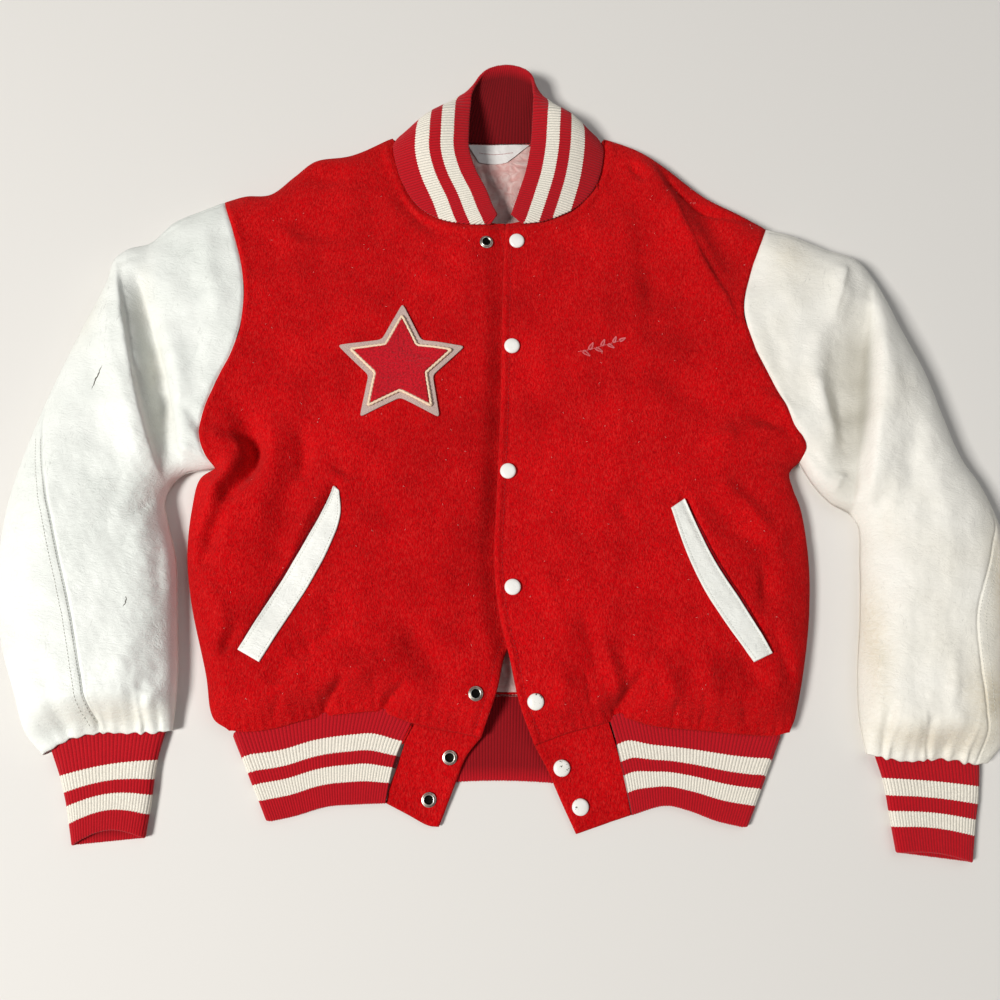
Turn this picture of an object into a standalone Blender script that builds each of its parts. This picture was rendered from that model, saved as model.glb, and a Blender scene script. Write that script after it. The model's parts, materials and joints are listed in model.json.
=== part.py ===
"""Varsity jacket lying flat on a floor, front up, with its sleeves bent down beside the body.

Wool body in a back and two overlapping fronts, leather sleeves cut in a top and an under piece,
rib-knit collar, waistband and cuffs, snaps down the front, leather pocket welts and a chest patch.

The frame is in metres. +Z is up from the floor, +Y runs from the hem to the collar, and +X runs
towards the wearer's left sleeve. The origin is on the floor under the middle of the whole jacket.
"left" and "right" are always the wearer's. Sizes in the tables below are in millimetres.
"""

import math
from collections import namedtuple

import bmesh
import bpy
import numpy as np
from mathutils import Vector
from mathutils.bvhtree import BVHTree
from mathutils.kdtree import KDTree

MM = 0.001

# Thickness of each cloth
WOOL = 2.2
LEATHER = 1.5
RIB_KNIT = 2.6
DOUBLE_WOOL = 3.0
SATIN = 0.8
FELT = 1.6
CHENILLE = 2.6

# How the pieces meet
UP, DOWN, OUT = "up", "down", "out"
SEAM_GAP = 0.5
RIM_GAP = 0.5
LIP = 1.0
LAY_GAP = 0.55
COLLAR_GAP = 1.5
SNAP_GAP = 0.4
HEM_TUCK = 4.0

# How high the laid jacket stands, and how its sides round off
RIM_HEIGHT = 9.0
BODY_HEIGHT = 24.0
SLEEVE_HEIGHT = 37.0
BODY_ROUND = 27.0
SLEEVE_ROUND = 48.0
UNDER_ROUND = 10.0
ARMHOLE_BLEND = 35.0
LOWEST_TOP = 8.5

# Where the overlapping front dips under the other
PLACKET_DROP = 3.5
PLACKET_RAMP = 20.0

# Heights of the ribbed pieces where the wool and leather hems lie over them
BAND_TOP_HEM = 10.2
BAND_TOP_EDGE = 8.2
BAND_BACK_GAP = 0.8
BAND_BACK_TOP = (0.035, 0.965)
BAND_BACK_FOOT = (0.01, 0.99)
BAND_BACK_STEPS = 60
BAND_FOLD_ANGLES = (30, 60, 90, 120, 150)
HEM_JOIN = 14.3
HEM_ROLL = 32.0
HEM_RIM_ROUND = 6.0
CUFF_HEIGHT = 11.2
CUFF_LIFT = 1.9
CUFF_SAG = {"right": 10.0, "left": 4.0}
CUFF_SIDE_POWER = 9
SLEEVE_JOIN = 15.0
SLEEVE_ROLL = 36.0
SLEEVE_RIM_ROUND = 7.0

# The doubled tab: its top at the hem, and how far it falls by its middle and by its lower end
TAB_TOP = 10.3
TAB_FALL = 3.4
TAB_END_FALL = 1.2

# How much of the band's back shows in the gap between the tabs: middle and half width
GAP_MIDDLE = 2.0
GAP_HALF = 66.0

# Where the collar's inner side is the one that shows: middle, half width and how far back it starts
BEHIND_MIDDLE = -3.0
BEHIND_HALF = 80.0
BEHIND_FROM = 300.0

# Rib knit: one raised wale for each two fine ones
RIB_PITCH = 6.4
RIB_RISE = 0.7

# Metal and enamel: (radius, height) pairs from the middle of the base round to the middle of the top
SNAP_STEPS = 10
CAP_RADIUS = 7.4
CAP_PROFILE = ((0, 0), (6.7, 0), (7.4, 0.9), (6.1, 2.3), (3.0, 3.0), (0, 3.1))
SOCKET_RADIUS = 6.6
SOCKET_PROFILE = ((0, 0), (6.1, 0), (6.6, 0.7), (5.7, 1.9), (4.1, 2.2), (3.3, 1.0), (0, 0.8))

# Edges of the cloth as it lies, a few (x, y) points each, which a smooth curve passes through
EDGES = {
    "armhole_right": (
        (-281, 241), (-266, 200), (-253, 150), (-252, 105), (-259, 74), (-275, 36), (-285, -4),
        (-279, -27), (-272, -37),
    ),
    "armhole_left": (
        (263, 211), (250, 181), (240, 152), (232, 118), (240, 79), (257, 39), (272, 4), (284, -18),
        (280, -31),
    ),
    "side_right": (
        (-272, -37), (-286, -47), (-292, -78), (-293, -120), (-286, -165), (-268, -230),
        (-260, -266), (-246, -281),
    ),
    "side_left": (
        (280, -31), (270, -41), (272, -56), (278, -76), (282, -124), (279, -174), (270, -226),
        (260, -266), (255, -282),
    ),
    "shoulder_right": (
        (-281, 241), (-260, 248), (-236, 250), (-213, 270), (-192, 288), (-156, 295), (-114, 316),
    ),
    "shoulder_left": (
        (263, 211), (238, 227), (203, 248), (166, 280), (137, 301), (103, 315),
    ),
    "neck_right": (
        (-114, 316), (-107, 289), (-96, 261), (-79, 233), (-56, 219), (-30, 213), (2, 214),
    ),
    "neck_left": (
        (103, 315), (99, 286), (88, 256), (70, 233), (48, 220), (22, 215), (2, 212),
    ),
    "neck_back": ((-114, 316), (-60, 314), (-5, 313), (50, 314), (103, 315)),
    "front_right": (
        (2, 214), (13, 150), (24, 82), (21, 0), (22, -90), (25, -146), (13, -188), (1, -212),
        (-6, -243), (-20, -284),
    ),
    "front_left": (
        (2, 212), (-1, 142), (-3, 28), (-7, -70), (-9, -126), (-5, -172), (5, -215), (14, -256),
        (27, -291),
    ),
    "hem_right": (
        (-246, -281), (-207, -277), (-172, -268), (-134, -263), (-112, -262), (-80, -272),
        (-20, -284),
    ),
    "hem_left": (
        (255, -282), (236, -283), (172, -278), (131, -274), (105, -267), (93, -271), (58, -280),
        (27, -291),
    ),
    "hem_back": ((-246, -281), (-120, -256), (2, -246), (125, -257), (255, -282)),
    "outer_right": (
        (-281, 241), (-303, 231), (-331, 217), (-352, 195), (-372, 189), (-387, 176), (-392, 152),
        (-415, 94), (-436, 34), (-452, -20), (-464, -78), (-465, -140), (-455, -200), (-438, -246),
        (-424, -281), (-408, -299),
    ),
    "inner_right": (
        (-272, -37), (-304, -43), (-318, -64), (-313, -92), (-304, -122), (-298, -180),
        (-294, -235), (-295, -278),
    ),
    "cuff_seam_right": ((-408, -299), (-388, -286), (-360, -279), (-326, -279), (-295, -278)),
    "outer_left": (
        (263, 211), (287, 204), (319, 189), (350, 177), (368, 152), (388, 102), (407, 55),
        (419, 12), (432, -28), (448, -56), (463, -102), (467, -150), (463, -204), (454, -251),
        (443, -287), (427, -306),
    ),
    "inner_left": (
        (280, -31), (290, -50), (305, -69), (329, -87), (329, -130), (325, -180), (319, -225),
        (317, -268), (321, -298),
    ),
    "cuff_seam_left": ((427, -306), (410, -305), (386, -301), (357, -303), (321, -298)),
    "rib_side_right": ((-242, -282), (-224, -314), (-214, -336), (-208, -355)),
    "rib_side_left": ((247, -283), (232, -306), (221, -340), (213, -360)),
    "rib_edge_right": ((-104, -340), (-128, -341), (-158, -343), (-188, -351), (-208, -355)),
    "rib_edge_left": ((112, -350), (143, -342), (164, -346), (190, -355), (213, -360)),
    "rib_edge_back": ((-208, -355), (-120, -331), (-3, -321), (110, -332), (213, -360)),
    "tab_seam_right": ((-81, -273), (-96, -304), (-104, -340)),
    "tab_seam_left": ((94, -271), (104, -306), (112, -350)),
    "tab_front_right": ((-20, -284), (-33, -300), (-43, -324), (-57, -360)),
    "tab_front_left": ((27, -291), (38, -311), (50, -338), (63, -366)),
    "tab_end_right": ((-104, -340), (-84, -350), (-66, -359), (-57, -360)),
    "tab_end_left": ((112, -350), (96, -355), (78, -361), (63, -366)),
    "cuff_outer_right": ((-403, -292), (-392, -318), (-384, -342), (-376, -375)),
    "cuff_inner_right": ((-301, -274), (-308, -306), (-310, -338), (-313, -369)),
    "cuff_outer_left": ((421, -301), (418, -330), (411, -362), (406, -389)),
    "cuff_inner_left": ((328, -295), (335, -322), (338, -352), (341, -381)),
    "welt_outer_right": ((-236, -208), (-198, -140), (-174, -95), (-161, -68), (-157, -57)),
    "welt_inner_right": ((-216, -219), (-177, -151), (-158, -112), (-150, -84), (-152, -62)),
    "welt_outer_left": ((238, -211), (212, -163), (194, -132), (180, -101), (167, -69)),
    "welt_inner_left": ((221, -219), (209, -202), (181, -155), (166, -118), (154, -78)),
}

# The outline of the whole laid jacket, where its sides round down to the floor
OUTLINE = (
    "shoulder_right", "outer_right", "inner_right", "side_right", "shoulder_left", "outer_left",
    "inner_left", "side_left",
)

# Broad swells and hollows of the laid cloth: centre, half widths and rise
Swell = namedtuple("Swell", "x y half_x half_y rise")
SWELLS = (
    Swell(-95, 285, 60, 55, -8.0),
    Swell(88, 285, 55, 55, -8.0),
    Swell(-190, -215, 80, 55, 6.0),
    Swell(185, -215, 75, 55, 7.0),
    Swell(-262, -95, 38, 70, 6.0),
    Swell(-205, 60, 70, 90, 3.0),
    Swell(120, 40, 70, 80, 3.0),
    Swell(10, -60, 40, 160, -4.0),
    Swell(-410, -60, 50, 110, 7.0),
    Swell(-385, -215, 55, 60, 5.0),
    Swell(-368, 150, 30, 40, 4.0),
    Swell(410, -160, 55, 110, 6.0),
    Swell(400, 20, 40, 80, 6.0),
    Swell(300, 60, 40, 90, -3.0),
)

# Creases: a path through three points, its width on the left and on the right when its start is held
# up, and a rise (or a trough, below 0)
Crease = namedtuple("Crease", "x0 y0 xm ym x1 y1 left right rise")
CREASES = (
    # the bend of the right sleeve: the lower sleeve lies over a deep fold beside it
    Crease(-374, 168, -350, 70, -316, -58, 26, 8, 5.0),
    Crease(-354, 162, -332, 66, -310, -50, 9, 17, -10.0),
    # the bend of the left sleeve: the lower sleeve lies over a broad hollow of the upper
    Crease(366, 140, 350, 55, 334, -84, 8, 26, 8.0),
    Crease(352, 122, 338, 40, 324, -72, 24, 8, -14.0),
    Crease(334, 162, 328, 132, 320, 100, 10, 6, 5.0),
    Crease(306, 100, 302, 40, 316, -40, 9, 9, 4.0),
    # the wool under the right arm
    Crease(-256, 22, -232, -22, -262, -76, 9, 10, -10.0),
    Crease(-276, -22, -262, -48, -276, -100, 10, 9, 5.0),
    Crease(-190, 8, -194, -40, -214, -126, 12, 14, -5.0),
    Crease(-214, 10, -218, -50, -238, -120, 11, 11, 3.0),
    Crease(-114, 276, -92, 244, -58, 208, 10, 11, -4.0),
    Crease(-200, 268, -182, 262, -158, 268, 10, 14, -4.0),
    Crease(-252, -202, -206, -168, -150, -130, 10, 12, -3.0),
    # the left shoulder: a long ridge to the armhole with a hollow beside it
    Crease(136, 296, 178, 222, 230, 112, 22, 9, 6.0),
    Crease(164, 284, 206, 222, 250, 132, 15, 20, -7.0),
    Crease(134, 56, 186, 28, 248, 2, 15, 14, -4.0),
    Crease(226, 20, 250, 6, 278, -10, 8, 8, -5.0),
    Crease(236, 36, 258, 22, 276, 8, 8, 8, 4.0),
    Crease(184, -62, 216, -96, 252, -124, 14, 11, -5.0),
    Crease(252, -124, 264, -112, 278, -100, 7, 8, -5.0),
    # the waist: soft hollows above the gathered hem
    Crease(206, -210, 218, -226, 232, -242, 9, 8, -4.0),
    Crease(70, -168, 80, -206, 86, -248, 7, 9, -3.0),
)

# Puckers that run up from the wool hem: place along it, width, reach and rise
Pucker = namedtuple("Pucker", "x y half reach rise")
PUCKERS = (
    Pucker(-226, -279, 10, 34, 2.5), Pucker(-190, -273, 11, 40, 3.5), Pucker(-172, -268, 6, 26, -3.5),
    Pucker(-150, -265, 9, 30, 3.5), Pucker(-116, -262, 6, 26, -3.5), Pucker(-98, -267, 9, 26, 3.0),
    Pucker(-60, -276, 12, 30, 2.0), Pucker(60, -280, 11, 28, 2.0), Pucker(86, -274, 8, 34, 3.0),
    Pucker(108, -268, 6, 26, -4.0), Pucker(126, -272, 9, 44, 4.0), Pucker(150, -276, 10, 32, 3.0),
    Pucker(184, -279, 11, 36, 3.5), Pucker(222, -282, 11, 30, 2.5),
)

# Where the top seam of each sleeve runs: share of the length, share of the width in from its edge
SeamStop = namedtuple("SeamStop", "along across")
SLEEVE_SEAMS = {
    "right": (SeamStop(0, 0.03), SeamStop(0.44, 0.03), SeamStop(0.52, 0.14), SeamStop(0.64, 0.33),
              SeamStop(0.8, 0.48), SeamStop(1, 0.5)),
    "left": (SeamStop(0, 0.03), SeamStop(0.6, 0.03), SeamStop(0.66, 0.14), SeamStop(0.76, 0.29),
             SeamStop(0.9, 0.24), SeamStop(1, 0.12)),
}

# Shares of each seam where the pieces on both of its sides have their points
ACROSS = (0, 0.03, 0.1, 0.22, 0.38, 0.54, 0.7, 0.85, 0.96, 1)
WRAP = (0, 0.3, 1)
ALONG = (0, 0.05, 0.1, 0.135, 0.165, 0.19, 0.215, 0.25, 0.3, 0.38, 0.48, 0.58, 0.68, 0.78, 0.88,
         0.95, 1)
SIDE = (0, 0.06, 0.16, 0.3, 0.46, 0.62, 0.77, 0.9, 1)
SHOULDER = (0, 0.05, 0.22, 0.46, 0.72, 1)
NECK = (0, 0.14, 0.28, 0.42, 0.56, 0.68, 0.78, 0.87, 0.94, 1)
BACK_NECK = (0, 0.05, 0.2, 0.5, 0.8, 0.95, 1)

# How many points the welts and the tabs have along and across
WELT_ROWS, WELT_COLUMNS = 15, 4
TAB_ROWS, TAB_COLUMNS = 7, 6

# Shares down a cuff, the first two inside the sleeve, and how many points run under it
CUFF_ROWS = (0, 0.12, 0.3, 1)
CUFF_UNDER = 9

# The collar as it lies, from its right end round the back to its left end. sx, sy: its seam, which
# lies on a front where sz is 0. tx, ty, tz: its folded top edge. bulge: how far it curves out between.
Rib = namedtuple("Rib", "sx sy sz tx ty tz bulge")
COLLAR = (
    Rib(-12, 210, 0, -7, 217, 30, 1), Rib(-36, 210, 0, -8, 221, 30.2, 1.5),
    Rib(-61, 216, 0, -11, 228, 30.5, 2), Rib(-85, 233, 0, -17, 245, 31.2, 3),
    Rib(-102, 261, 0, -28, 268, 32.3, 5), Rib(-110, 286, 0, -34, 290, 33, 8),
    Rib(-112, 303, 0, -34, 311, 33, 11), Rib(-102, 318.5, 12, -33, 336, 32, 12),
    Rib(-84, 318, 1, -31, 359, 31, 9), Rib(-46, 316, 1, -19, 382, 29, 3),
    Rib(-3, 315, 1, 6, 389.5, 27, 0), Rib(40, 316, 1, 28, 379, 29, 3),
    Rib(75, 317, 1, 31, 356, 31, 9), Rib(91, 318.5, 12, 29.5, 334, 31.5, 12),
    Rib(101, 302, 0, 28, 309, 32.3, 11), Rib(101, 286, 0, 26.5, 291, 33, 8),
    Rib(93, 256, 0, 22, 265, 32.3, 5), Rib(74, 231, 0, 16, 244, 32, 3),
    Rib(50, 217, 0, 11, 227, 31.3, 2), Rib(32, 211, 0, 9, 220, 31.1, 1.5), Rib(17, 210, 0, 8, 217, 31, 1),
)
COLLAR_ROWS = 3

# Chest patch: a plain five-pointed star
STAR = {"x": -98, "y": 61, "points": 5, "radius": 64, "waist": 0.5, "border": 8.0}
STAR_RINGS = (0.0, 0.6, 1.0)
STAR_STEPS = 3

# The two stretches of lining that show: corners, and how many rows and columns of points
Lining = namedtuple("Lining", "name upper_left upper_right lower_left lower_right rows columns")
LININGS = (
    Lining("lining_neck", (-62, 307), (56, 307), (-14, 196), (16, 196), 10, 7),
    Lining("lining_hem", (-30, -190), (44, -190), (-34, -244), (48, -244), 6, 7),
)
RIPPLE = 1.1
RIPPLE_ACROSS = (0.16, 0.05)
RIPPLE_DOWN = (0.11, -0.6)

# The neck label: its points across at the top and at its tapered lower end, and its rows
LABEL_TOP = (-36, -20, -5, 10, 26)
LABEL_END = (-32, -18, -5, 8, 22)
LABEL_ROWS = (309, 302, 292)

# Snaps: place and the piece that each one sits on
Snap = namedtuple("Snap", "x y carrier")
CAPS = (
    Snap(13, 192, "front_left"), Snap(8, 82, "front_left"), Snap(4, -42, "front_left"),
    Snap(8, -151, "front_left"), Snap(28, -253, "front_left"), Snap(51, -310, "tab_left"),
    Snap(67, -343, "tab_left"),
)
SOCKETS = (
    Snap(-17, 191, "front_right"), Snap(-25, -246, "front_right"), Snap(-48, -301, "tab_right"),
    Snap(-66, -337, "tab_right"),
)

# Colour, roughness and metallic value of each material
Finish = namedtuple("Finish", "colour roughness metallic")
FINISHES = {
    "red_wool": Finish((0.58, 0.006, 0.010), 0.95, 0.0),
    "white_leather": Finish((0.79, 0.77, 0.69), 0.5, 0.0),
    "red_rib": Finish((0.47, 0.006, 0.012), 0.9, 0.0),
    "pink_satin": Finish((0.69, 0.39, 0.36), 0.4, 0.0),
    "white_satin": Finish((0.80, 0.78, 0.76), 0.45, 0.0),
    "grey_felt": Finish((0.58, 0.44, 0.39), 0.95, 0.0),
    "red_chenille": Finish((0.42, 0.006, 0.012), 1.0, 0.0),
    "white_enamel": Finish((0.82, 0.81, 0.78), 0.25, 0.0),
    "nickel": Finish((0.45, 0.43, 0.40), 0.3, 1.0),
}


def clear_scene():
    for obj in list(bpy.data.objects):
        bpy.data.objects.remove(obj, do_unlink=True)


def smooth_step(value):
    value = np.clip(value, 0.0, 1.0)
    return value * value * (3.0 - 2.0 * value)


def smooth_path(points, steps=16):
    """A dense path through the points, as a centripetal Catmull-Rom curve."""
    points = np.asarray(points, float)
    ends = np.vstack([2 * points[0] - points[1], points, 2 * points[-1] - points[-2]])
    path = []
    for i in range(len(points) - 1):
        a, b, c, d = ends[i:i + 4]
        gaps = [np.linalg.norm(b - a), np.linalg.norm(c - b), np.linalg.norm(d - c)]
        knots = np.concatenate([[0], np.cumsum(np.sqrt(np.maximum(gaps, 1e-6)))])
        for t in np.linspace(knots[1], knots[2], steps, endpoint=False):
            ab = (a * (knots[1] - t) + b * t) / knots[1]
            bc = (b * (knots[2] - t) + c * (t - knots[1])) / (knots[2] - knots[1])
            cd = (c * (knots[3] - t) + d * (t - knots[2])) / (knots[3] - knots[2])
            near = (ab * (knots[2] - t) + bc * t) / knots[2]
            far = (bc * (knots[3] - t) + cd * (t - knots[1])) / (knots[3] - knots[1])
            path.append((near * (knots[2] - t) + far * (t - knots[1])) / (knots[2] - knots[1]))
    path.append(points[-1])
    return np.array(path)


def along(path, shares):
    """Points of a dense path at shares of its length."""
    lengths = np.concatenate([[0], np.cumsum(np.linalg.norm(np.diff(path, axis=0), axis=1))])
    at = np.asarray(shares, float) * lengths[-1]
    return np.stack([np.interp(at, lengths, path[:, k]) for k in range(path.shape[1])], axis=-1)


PATHS = {name: smooth_path(points) for name, points in EDGES.items()}


def edge(name, shares, start=0.0, end=1.0):
    return along(PATHS[name], start + (end - start) * np.asarray(shares, float))


def distance(points, path):
    """Distance of each point from a path."""
    flat = np.asarray(points, float).reshape(-1, 1, 2)
    a, b = path[:-1], path[1:]
    span = b - a
    share = ((flat - a) * span).sum(-1) / np.maximum((span * span).sum(-1), 1e-12)
    nearest = a + np.clip(share, 0, 1)[..., None] * span
    found = np.linalg.norm(flat - nearest, axis=-1).min(axis=1)
    return found.reshape(np.asarray(points).shape[:-1])


def depth_inside(points):
    """Distance of each point from the outline of the whole laid jacket."""
    return np.min([distance(points, PATHS[name]) for name in OUTLINE], axis=0)


def rounded(depth, radius):
    """Rise from 0 at the rim to 1 at the given depth, along a quarter of an ellipse."""
    return np.sqrt(1 - np.clip(1 - depth / radius, 0, 1) ** 2)


def swell_rise(points):
    rise = np.zeros(points.shape[:-1])
    for swell in SWELLS:
        offset = (points - (swell.x, swell.y)) / (swell.half_x, swell.half_y)
        rise += swell.rise * np.exp(-(offset ** 2).sum(-1))
    return rise


def crease_rise(points):
    rise = np.zeros(points.shape[:-1])
    flat = points.reshape(-1, 1, 2)
    for crease in CREASES:
        path = smooth_path(((crease.x0, crease.y0), (crease.xm, crease.ym), (crease.x1, crease.y1)), 12)
        offset = flat - path
        nearest = (offset ** 2).sum(-1).argmin(axis=1)
        gap = offset[np.arange(len(flat)), nearest]
        heading = np.gradient(path, axis=0)[nearest]
        side = heading[:, 0] * gap[:, 1] - heading[:, 1] * gap[:, 0]
        width = np.where(side > 0, crease.right, crease.left)
        fade = np.sin(math.pi * nearest / (len(path) - 1)).clip(0) ** 0.7
        drop = np.exp(-(gap ** 2).sum(-1) / width ** 2)
        rise += (crease.rise * fade * drop).reshape(rise.shape)
    return rise


def upper_height(points, side, sleeve):
    """Height of the upper cloth over each point of the floor, the same on both sides of an armhole."""
    depth = depth_inside(points)
    nearness = 0.5 * np.exp(-distance(points, PATHS["armhole_" + side]) / ARMHOLE_BLEND)
    share = 1 - nearness if sleeve else nearness
    height = BODY_HEIGHT + (SLEEVE_HEIGHT - BODY_HEIGHT) * share
    radius = BODY_ROUND + (SLEEVE_ROUND - BODY_ROUND) * share
    height = height + swell_rise(points) + crease_rise(points)
    return np.maximum(RIM_HEIGHT + (height - RIM_HEIGHT) * rounded(depth, radius), LOWEST_TOP)


def lower_height(points):
    """Height of the underside, flat on the floor and turned up at the rim."""
    return RIM_HEIGHT * (1 - rounded(depth_inside(points), UNDER_ROUND))


def front_height(points, side):
    """The upper cloth of a front: it comes down to the waistband, and the right one dips under the left."""
    height = upper_height(points, side, False)
    for pucker in PUCKERS:
        offset = (points[..., 0] - pucker.x) / pucker.half
        reach = np.exp(-np.maximum(points[..., 1] - pucker.y, 0) / pucker.reach)
        height = height + pucker.rise * np.exp(-offset ** 2) * reach
    rim = rounded(depth_inside(points), HEM_RIM_ROUND)
    join = RIM_HEIGHT + (HEM_JOIN - RIM_HEIGHT) * rim
    blend = smooth_step(distance(points, PATHS["hem_" + side]) / HEM_ROLL)
    height = join + (np.maximum(height, join) - join) * blend
    if side == "right":
        path = PATHS["front_left"]
        x_edge = np.interp(-points[..., 1], -path[:, 1], path[:, 0])
        height = height - PLACKET_DROP * smooth_step((points[..., 0] - x_edge + PLACKET_RAMP) / PLACKET_RAMP)
    return height


def four_sided(left, right, top, bottom, down, over):
    """Points inside four edges, blended from them (a Coons patch). Rows run down, columns across."""
    down, over = np.asarray(down)[:, None, None], np.asarray(over)[None, :, None]
    sides = (1 - over) * left[:, None] + over * right[:, None]
    ends = (1 - down) * top[None] + down * bottom[None]
    corners = (1 - down) * ((1 - over) * top[0] + over * top[-1]) + down * (
        (1 - over) * bottom[0] + over * bottom[-1])
    return sides + ends - corners


def shares_of(points):
    lengths = np.concatenate([[0], np.cumsum(np.linalg.norm(np.diff(points, axis=0), axis=1))])
    return lengths / lengths[-1]


def step_in(border, inner, distance_in):
    """The border line moved towards the inner one, square to its run. Its ends keep to their own sides."""
    run = np.gradient(border, axis=0)
    run /= np.maximum(np.linalg.norm(run, axis=-1, keepdims=True), 1e-9)
    away = inner - border
    square = away - (away * run).sum(axis=-1, keepdims=True) * run
    square[[0, -1]] = away[[0, -1]]
    return border + square * (distance_in / np.maximum(np.linalg.norm(square, axis=-1, keepdims=True), 1e-9))


def bordered(plan, seams):
    """The plan with each side moved in by half a seam gap where a seam runs, and a narrow lip inside it.

    seams gives, for left, right, top and bottom, a flag for each point: True on a seam.
    """
    plan = plan.copy()
    flags = {name: np.asarray(flag, bool)[:, None] for name, flag in seams.items()}
    half = SEAM_GAP / 2
    moved = plan.copy()
    moved[:, 0] += np.where(flags["left"], step_in(plan[:, 0], plan[:, 1], half) - plan[:, 0], 0)
    moved[:, -1] += np.where(flags["right"], step_in(plan[:, -1], plan[:, -2], half) - plan[:, -1], 0)
    moved[0] += np.where(flags["top"], step_in(plan[0], plan[1], half) - plan[0], 0)
    moved[-1] += np.where(flags["bottom"], step_in(plan[-1], plan[-2], half) - plan[-1], 0)
    rows = np.concatenate([moved[:1], step_in(moved[0], moved[1], LIP)[None], moved[1:-1],
                           step_in(moved[-1], moved[-2], LIP)[None], moved[-1:]])
    return np.concatenate([rows[:, :1], step_in(rows[:, 0], rows[:, 1], LIP)[:, None], rows[:, 1:-1],
                           step_in(rows[:, -1], rows[:, -2], LIP)[:, None], rows[:, -1:]], axis=1)


def rimmed(plan, heights, rims, upward):
    """Points in space, with each rim side stood upright: its edge and its lip lie over one another.

    rims gives, for left, right, top and bottom, a flag for each point of the plan before its lips.
    """
    points = np.concatenate([plan, heights[..., None]], axis=-1)
    sign = 1 if upward else -1

    def spread(flags):
        flags = np.asarray(flags, bool)
        return np.concatenate([flags[:1], flags[:1], flags[1:-1], flags[-1:], flags[-1:]])

    def stand(edge_points, lip_points, flags):
        low, high = edge_points.copy(), lip_points.copy()
        low[:, 2] = RIM_HEIGHT + sign * RIM_GAP / 2
        high[:, :2] = edge_points[:, :2]
        high[:, 2] = RIM_HEIGHT + sign * (RIM_GAP / 2 + LIP)
        flags = flags[:, None]
        return np.where(flags, low, edge_points), np.where(flags, high, lip_points)

    points[:, 0], points[:, 1] = stand(points[:, 0], points[:, 1], spread(rims["left"]))
    points[:, -1], points[:, -2] = stand(points[:, -1], points[:, -2], spread(rims["right"]))
    points[0], points[1] = stand(points[0], points[1], spread(rims["top"]))
    points[-1], points[-2] = stand(points[-1], points[-2], spread(rims["bottom"]))
    return points


def material(name):
    found = bpy.data.materials.get(name)
    if found:
        return found
    finish = FINISHES[name]
    made = bpy.data.materials.new(name)
    made.use_nodes = True
    shader = made.node_tree.nodes["Principled BSDF"]
    shader.inputs["Base Color"].default_value = (*finish.colour, 1)
    shader.inputs["Roughness"].default_value = finish.roughness
    shader.inputs["Metallic"].default_value = finish.metallic
    made.diffuse_color = (*finish.colour, 1)
    return made


class Jacket:
    """Collects the finished pieces in one collection, and finds the height of cloth already laid."""

    def __init__(self):
        self.collection = bpy.data.collections.new("varsity_jacket")
        bpy.context.scene.collection.children.link(self.collection)
        self.trees = {}

    def add(self, name, mesh, finish):
        mesh.name = name
        mesh.materials.append(material(finish))
        obj = bpy.data.objects.new(name, mesh)
        self.collection.objects.link(obj)
        mesh.shade_smooth()
        mesh.set_sharp_from_angle(angle=math.radians(35))
        return obj

    def add_shell(self, name, points, wall, facing, finish, weld=False, relief=None):
        """A wall of cloth from a grid of outer points, thickened to the inside.

        facing tells which way the outer side of the first columns looks: UP, DOWN, or OUT on a tube.
        relief raises single outer points, or where negative the inner points, over a plain far side.
        """
        base = bpy.data.objects.new(name + "_base", grid_mesh(points, facing, weld))
        self.collection.objects.link(base)
        thicken = base.modifiers.new("wall", "SOLIDIFY")
        thicken.thickness = wall * MM
        thicken.offset = -1
        thicken.use_even_offset = False
        bpy.context.view_layer.update()
        graph = bpy.context.evaluated_depsgraph_get()
        mesh = bpy.data.meshes.new_from_object(base.evaluated_get(graph))
        level_rims(mesh, base.data)
        if relief is not None:
            raise_points(mesh, base.data, points, relief)
        bpy.data.objects.remove(base, do_unlink=True)
        return self.add(name, mesh, finish)

    def remember(self, obj):
        bm = bmesh.new()
        bm.from_mesh(obj.data)
        self.trees[obj.name] = BVHTree.FromBMesh(bm)
        bm.free()

    def surface(self, carrier, x, y):
        """Height in millimetres and normal of a laid piece's upper side."""
        hit, normal, _, _ = self.trees[carrier].ray_cast(Vector((x * MM, y * MM, 1.0)), Vector((0, 0, -1)))
        return (None, None) if hit is None else (hit.z / MM, normal)

    def heights_on(self, carrier, plan, spare=0.0):
        """Height of a laid piece under each point. Points just past its edge take the nearest height."""
        heights = np.full(plan.shape[:-1], np.nan)
        for index in np.ndindex(heights.shape):
            height, _ = self.surface(carrier, *plan[index])
            if height is not None:
                heights[index] = height
        known = np.argwhere(~np.isnan(heights))
        for index in np.argwhere(np.isnan(heights)):
            nearest = known[np.abs(known - index).sum(axis=1).argmin()]
            heights[tuple(index)] = heights[tuple(nearest)]
        return heights + spare


def looks_away(points, facing):
    """Whether the faces of a grid of points look the wrong way, by those of its first columns."""
    over = points[:-1, 1:] - points[:-1, :-1]
    down = points[1:, :-1] - points[:-1, :-1]
    normals = np.cross(over, down)
    if facing == OUT:
        middles = (points[:-1, :-1] + points[1:, 1:]) / 2
        return (normals * (middles - middles.mean(axis=(0, 1)))).sum() < 0
    lead = max(2, normals.shape[1] // 6)
    rise = normals[:, :lead, 2].sum()
    return rise < 0 if facing == UP else rise > 0


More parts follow.
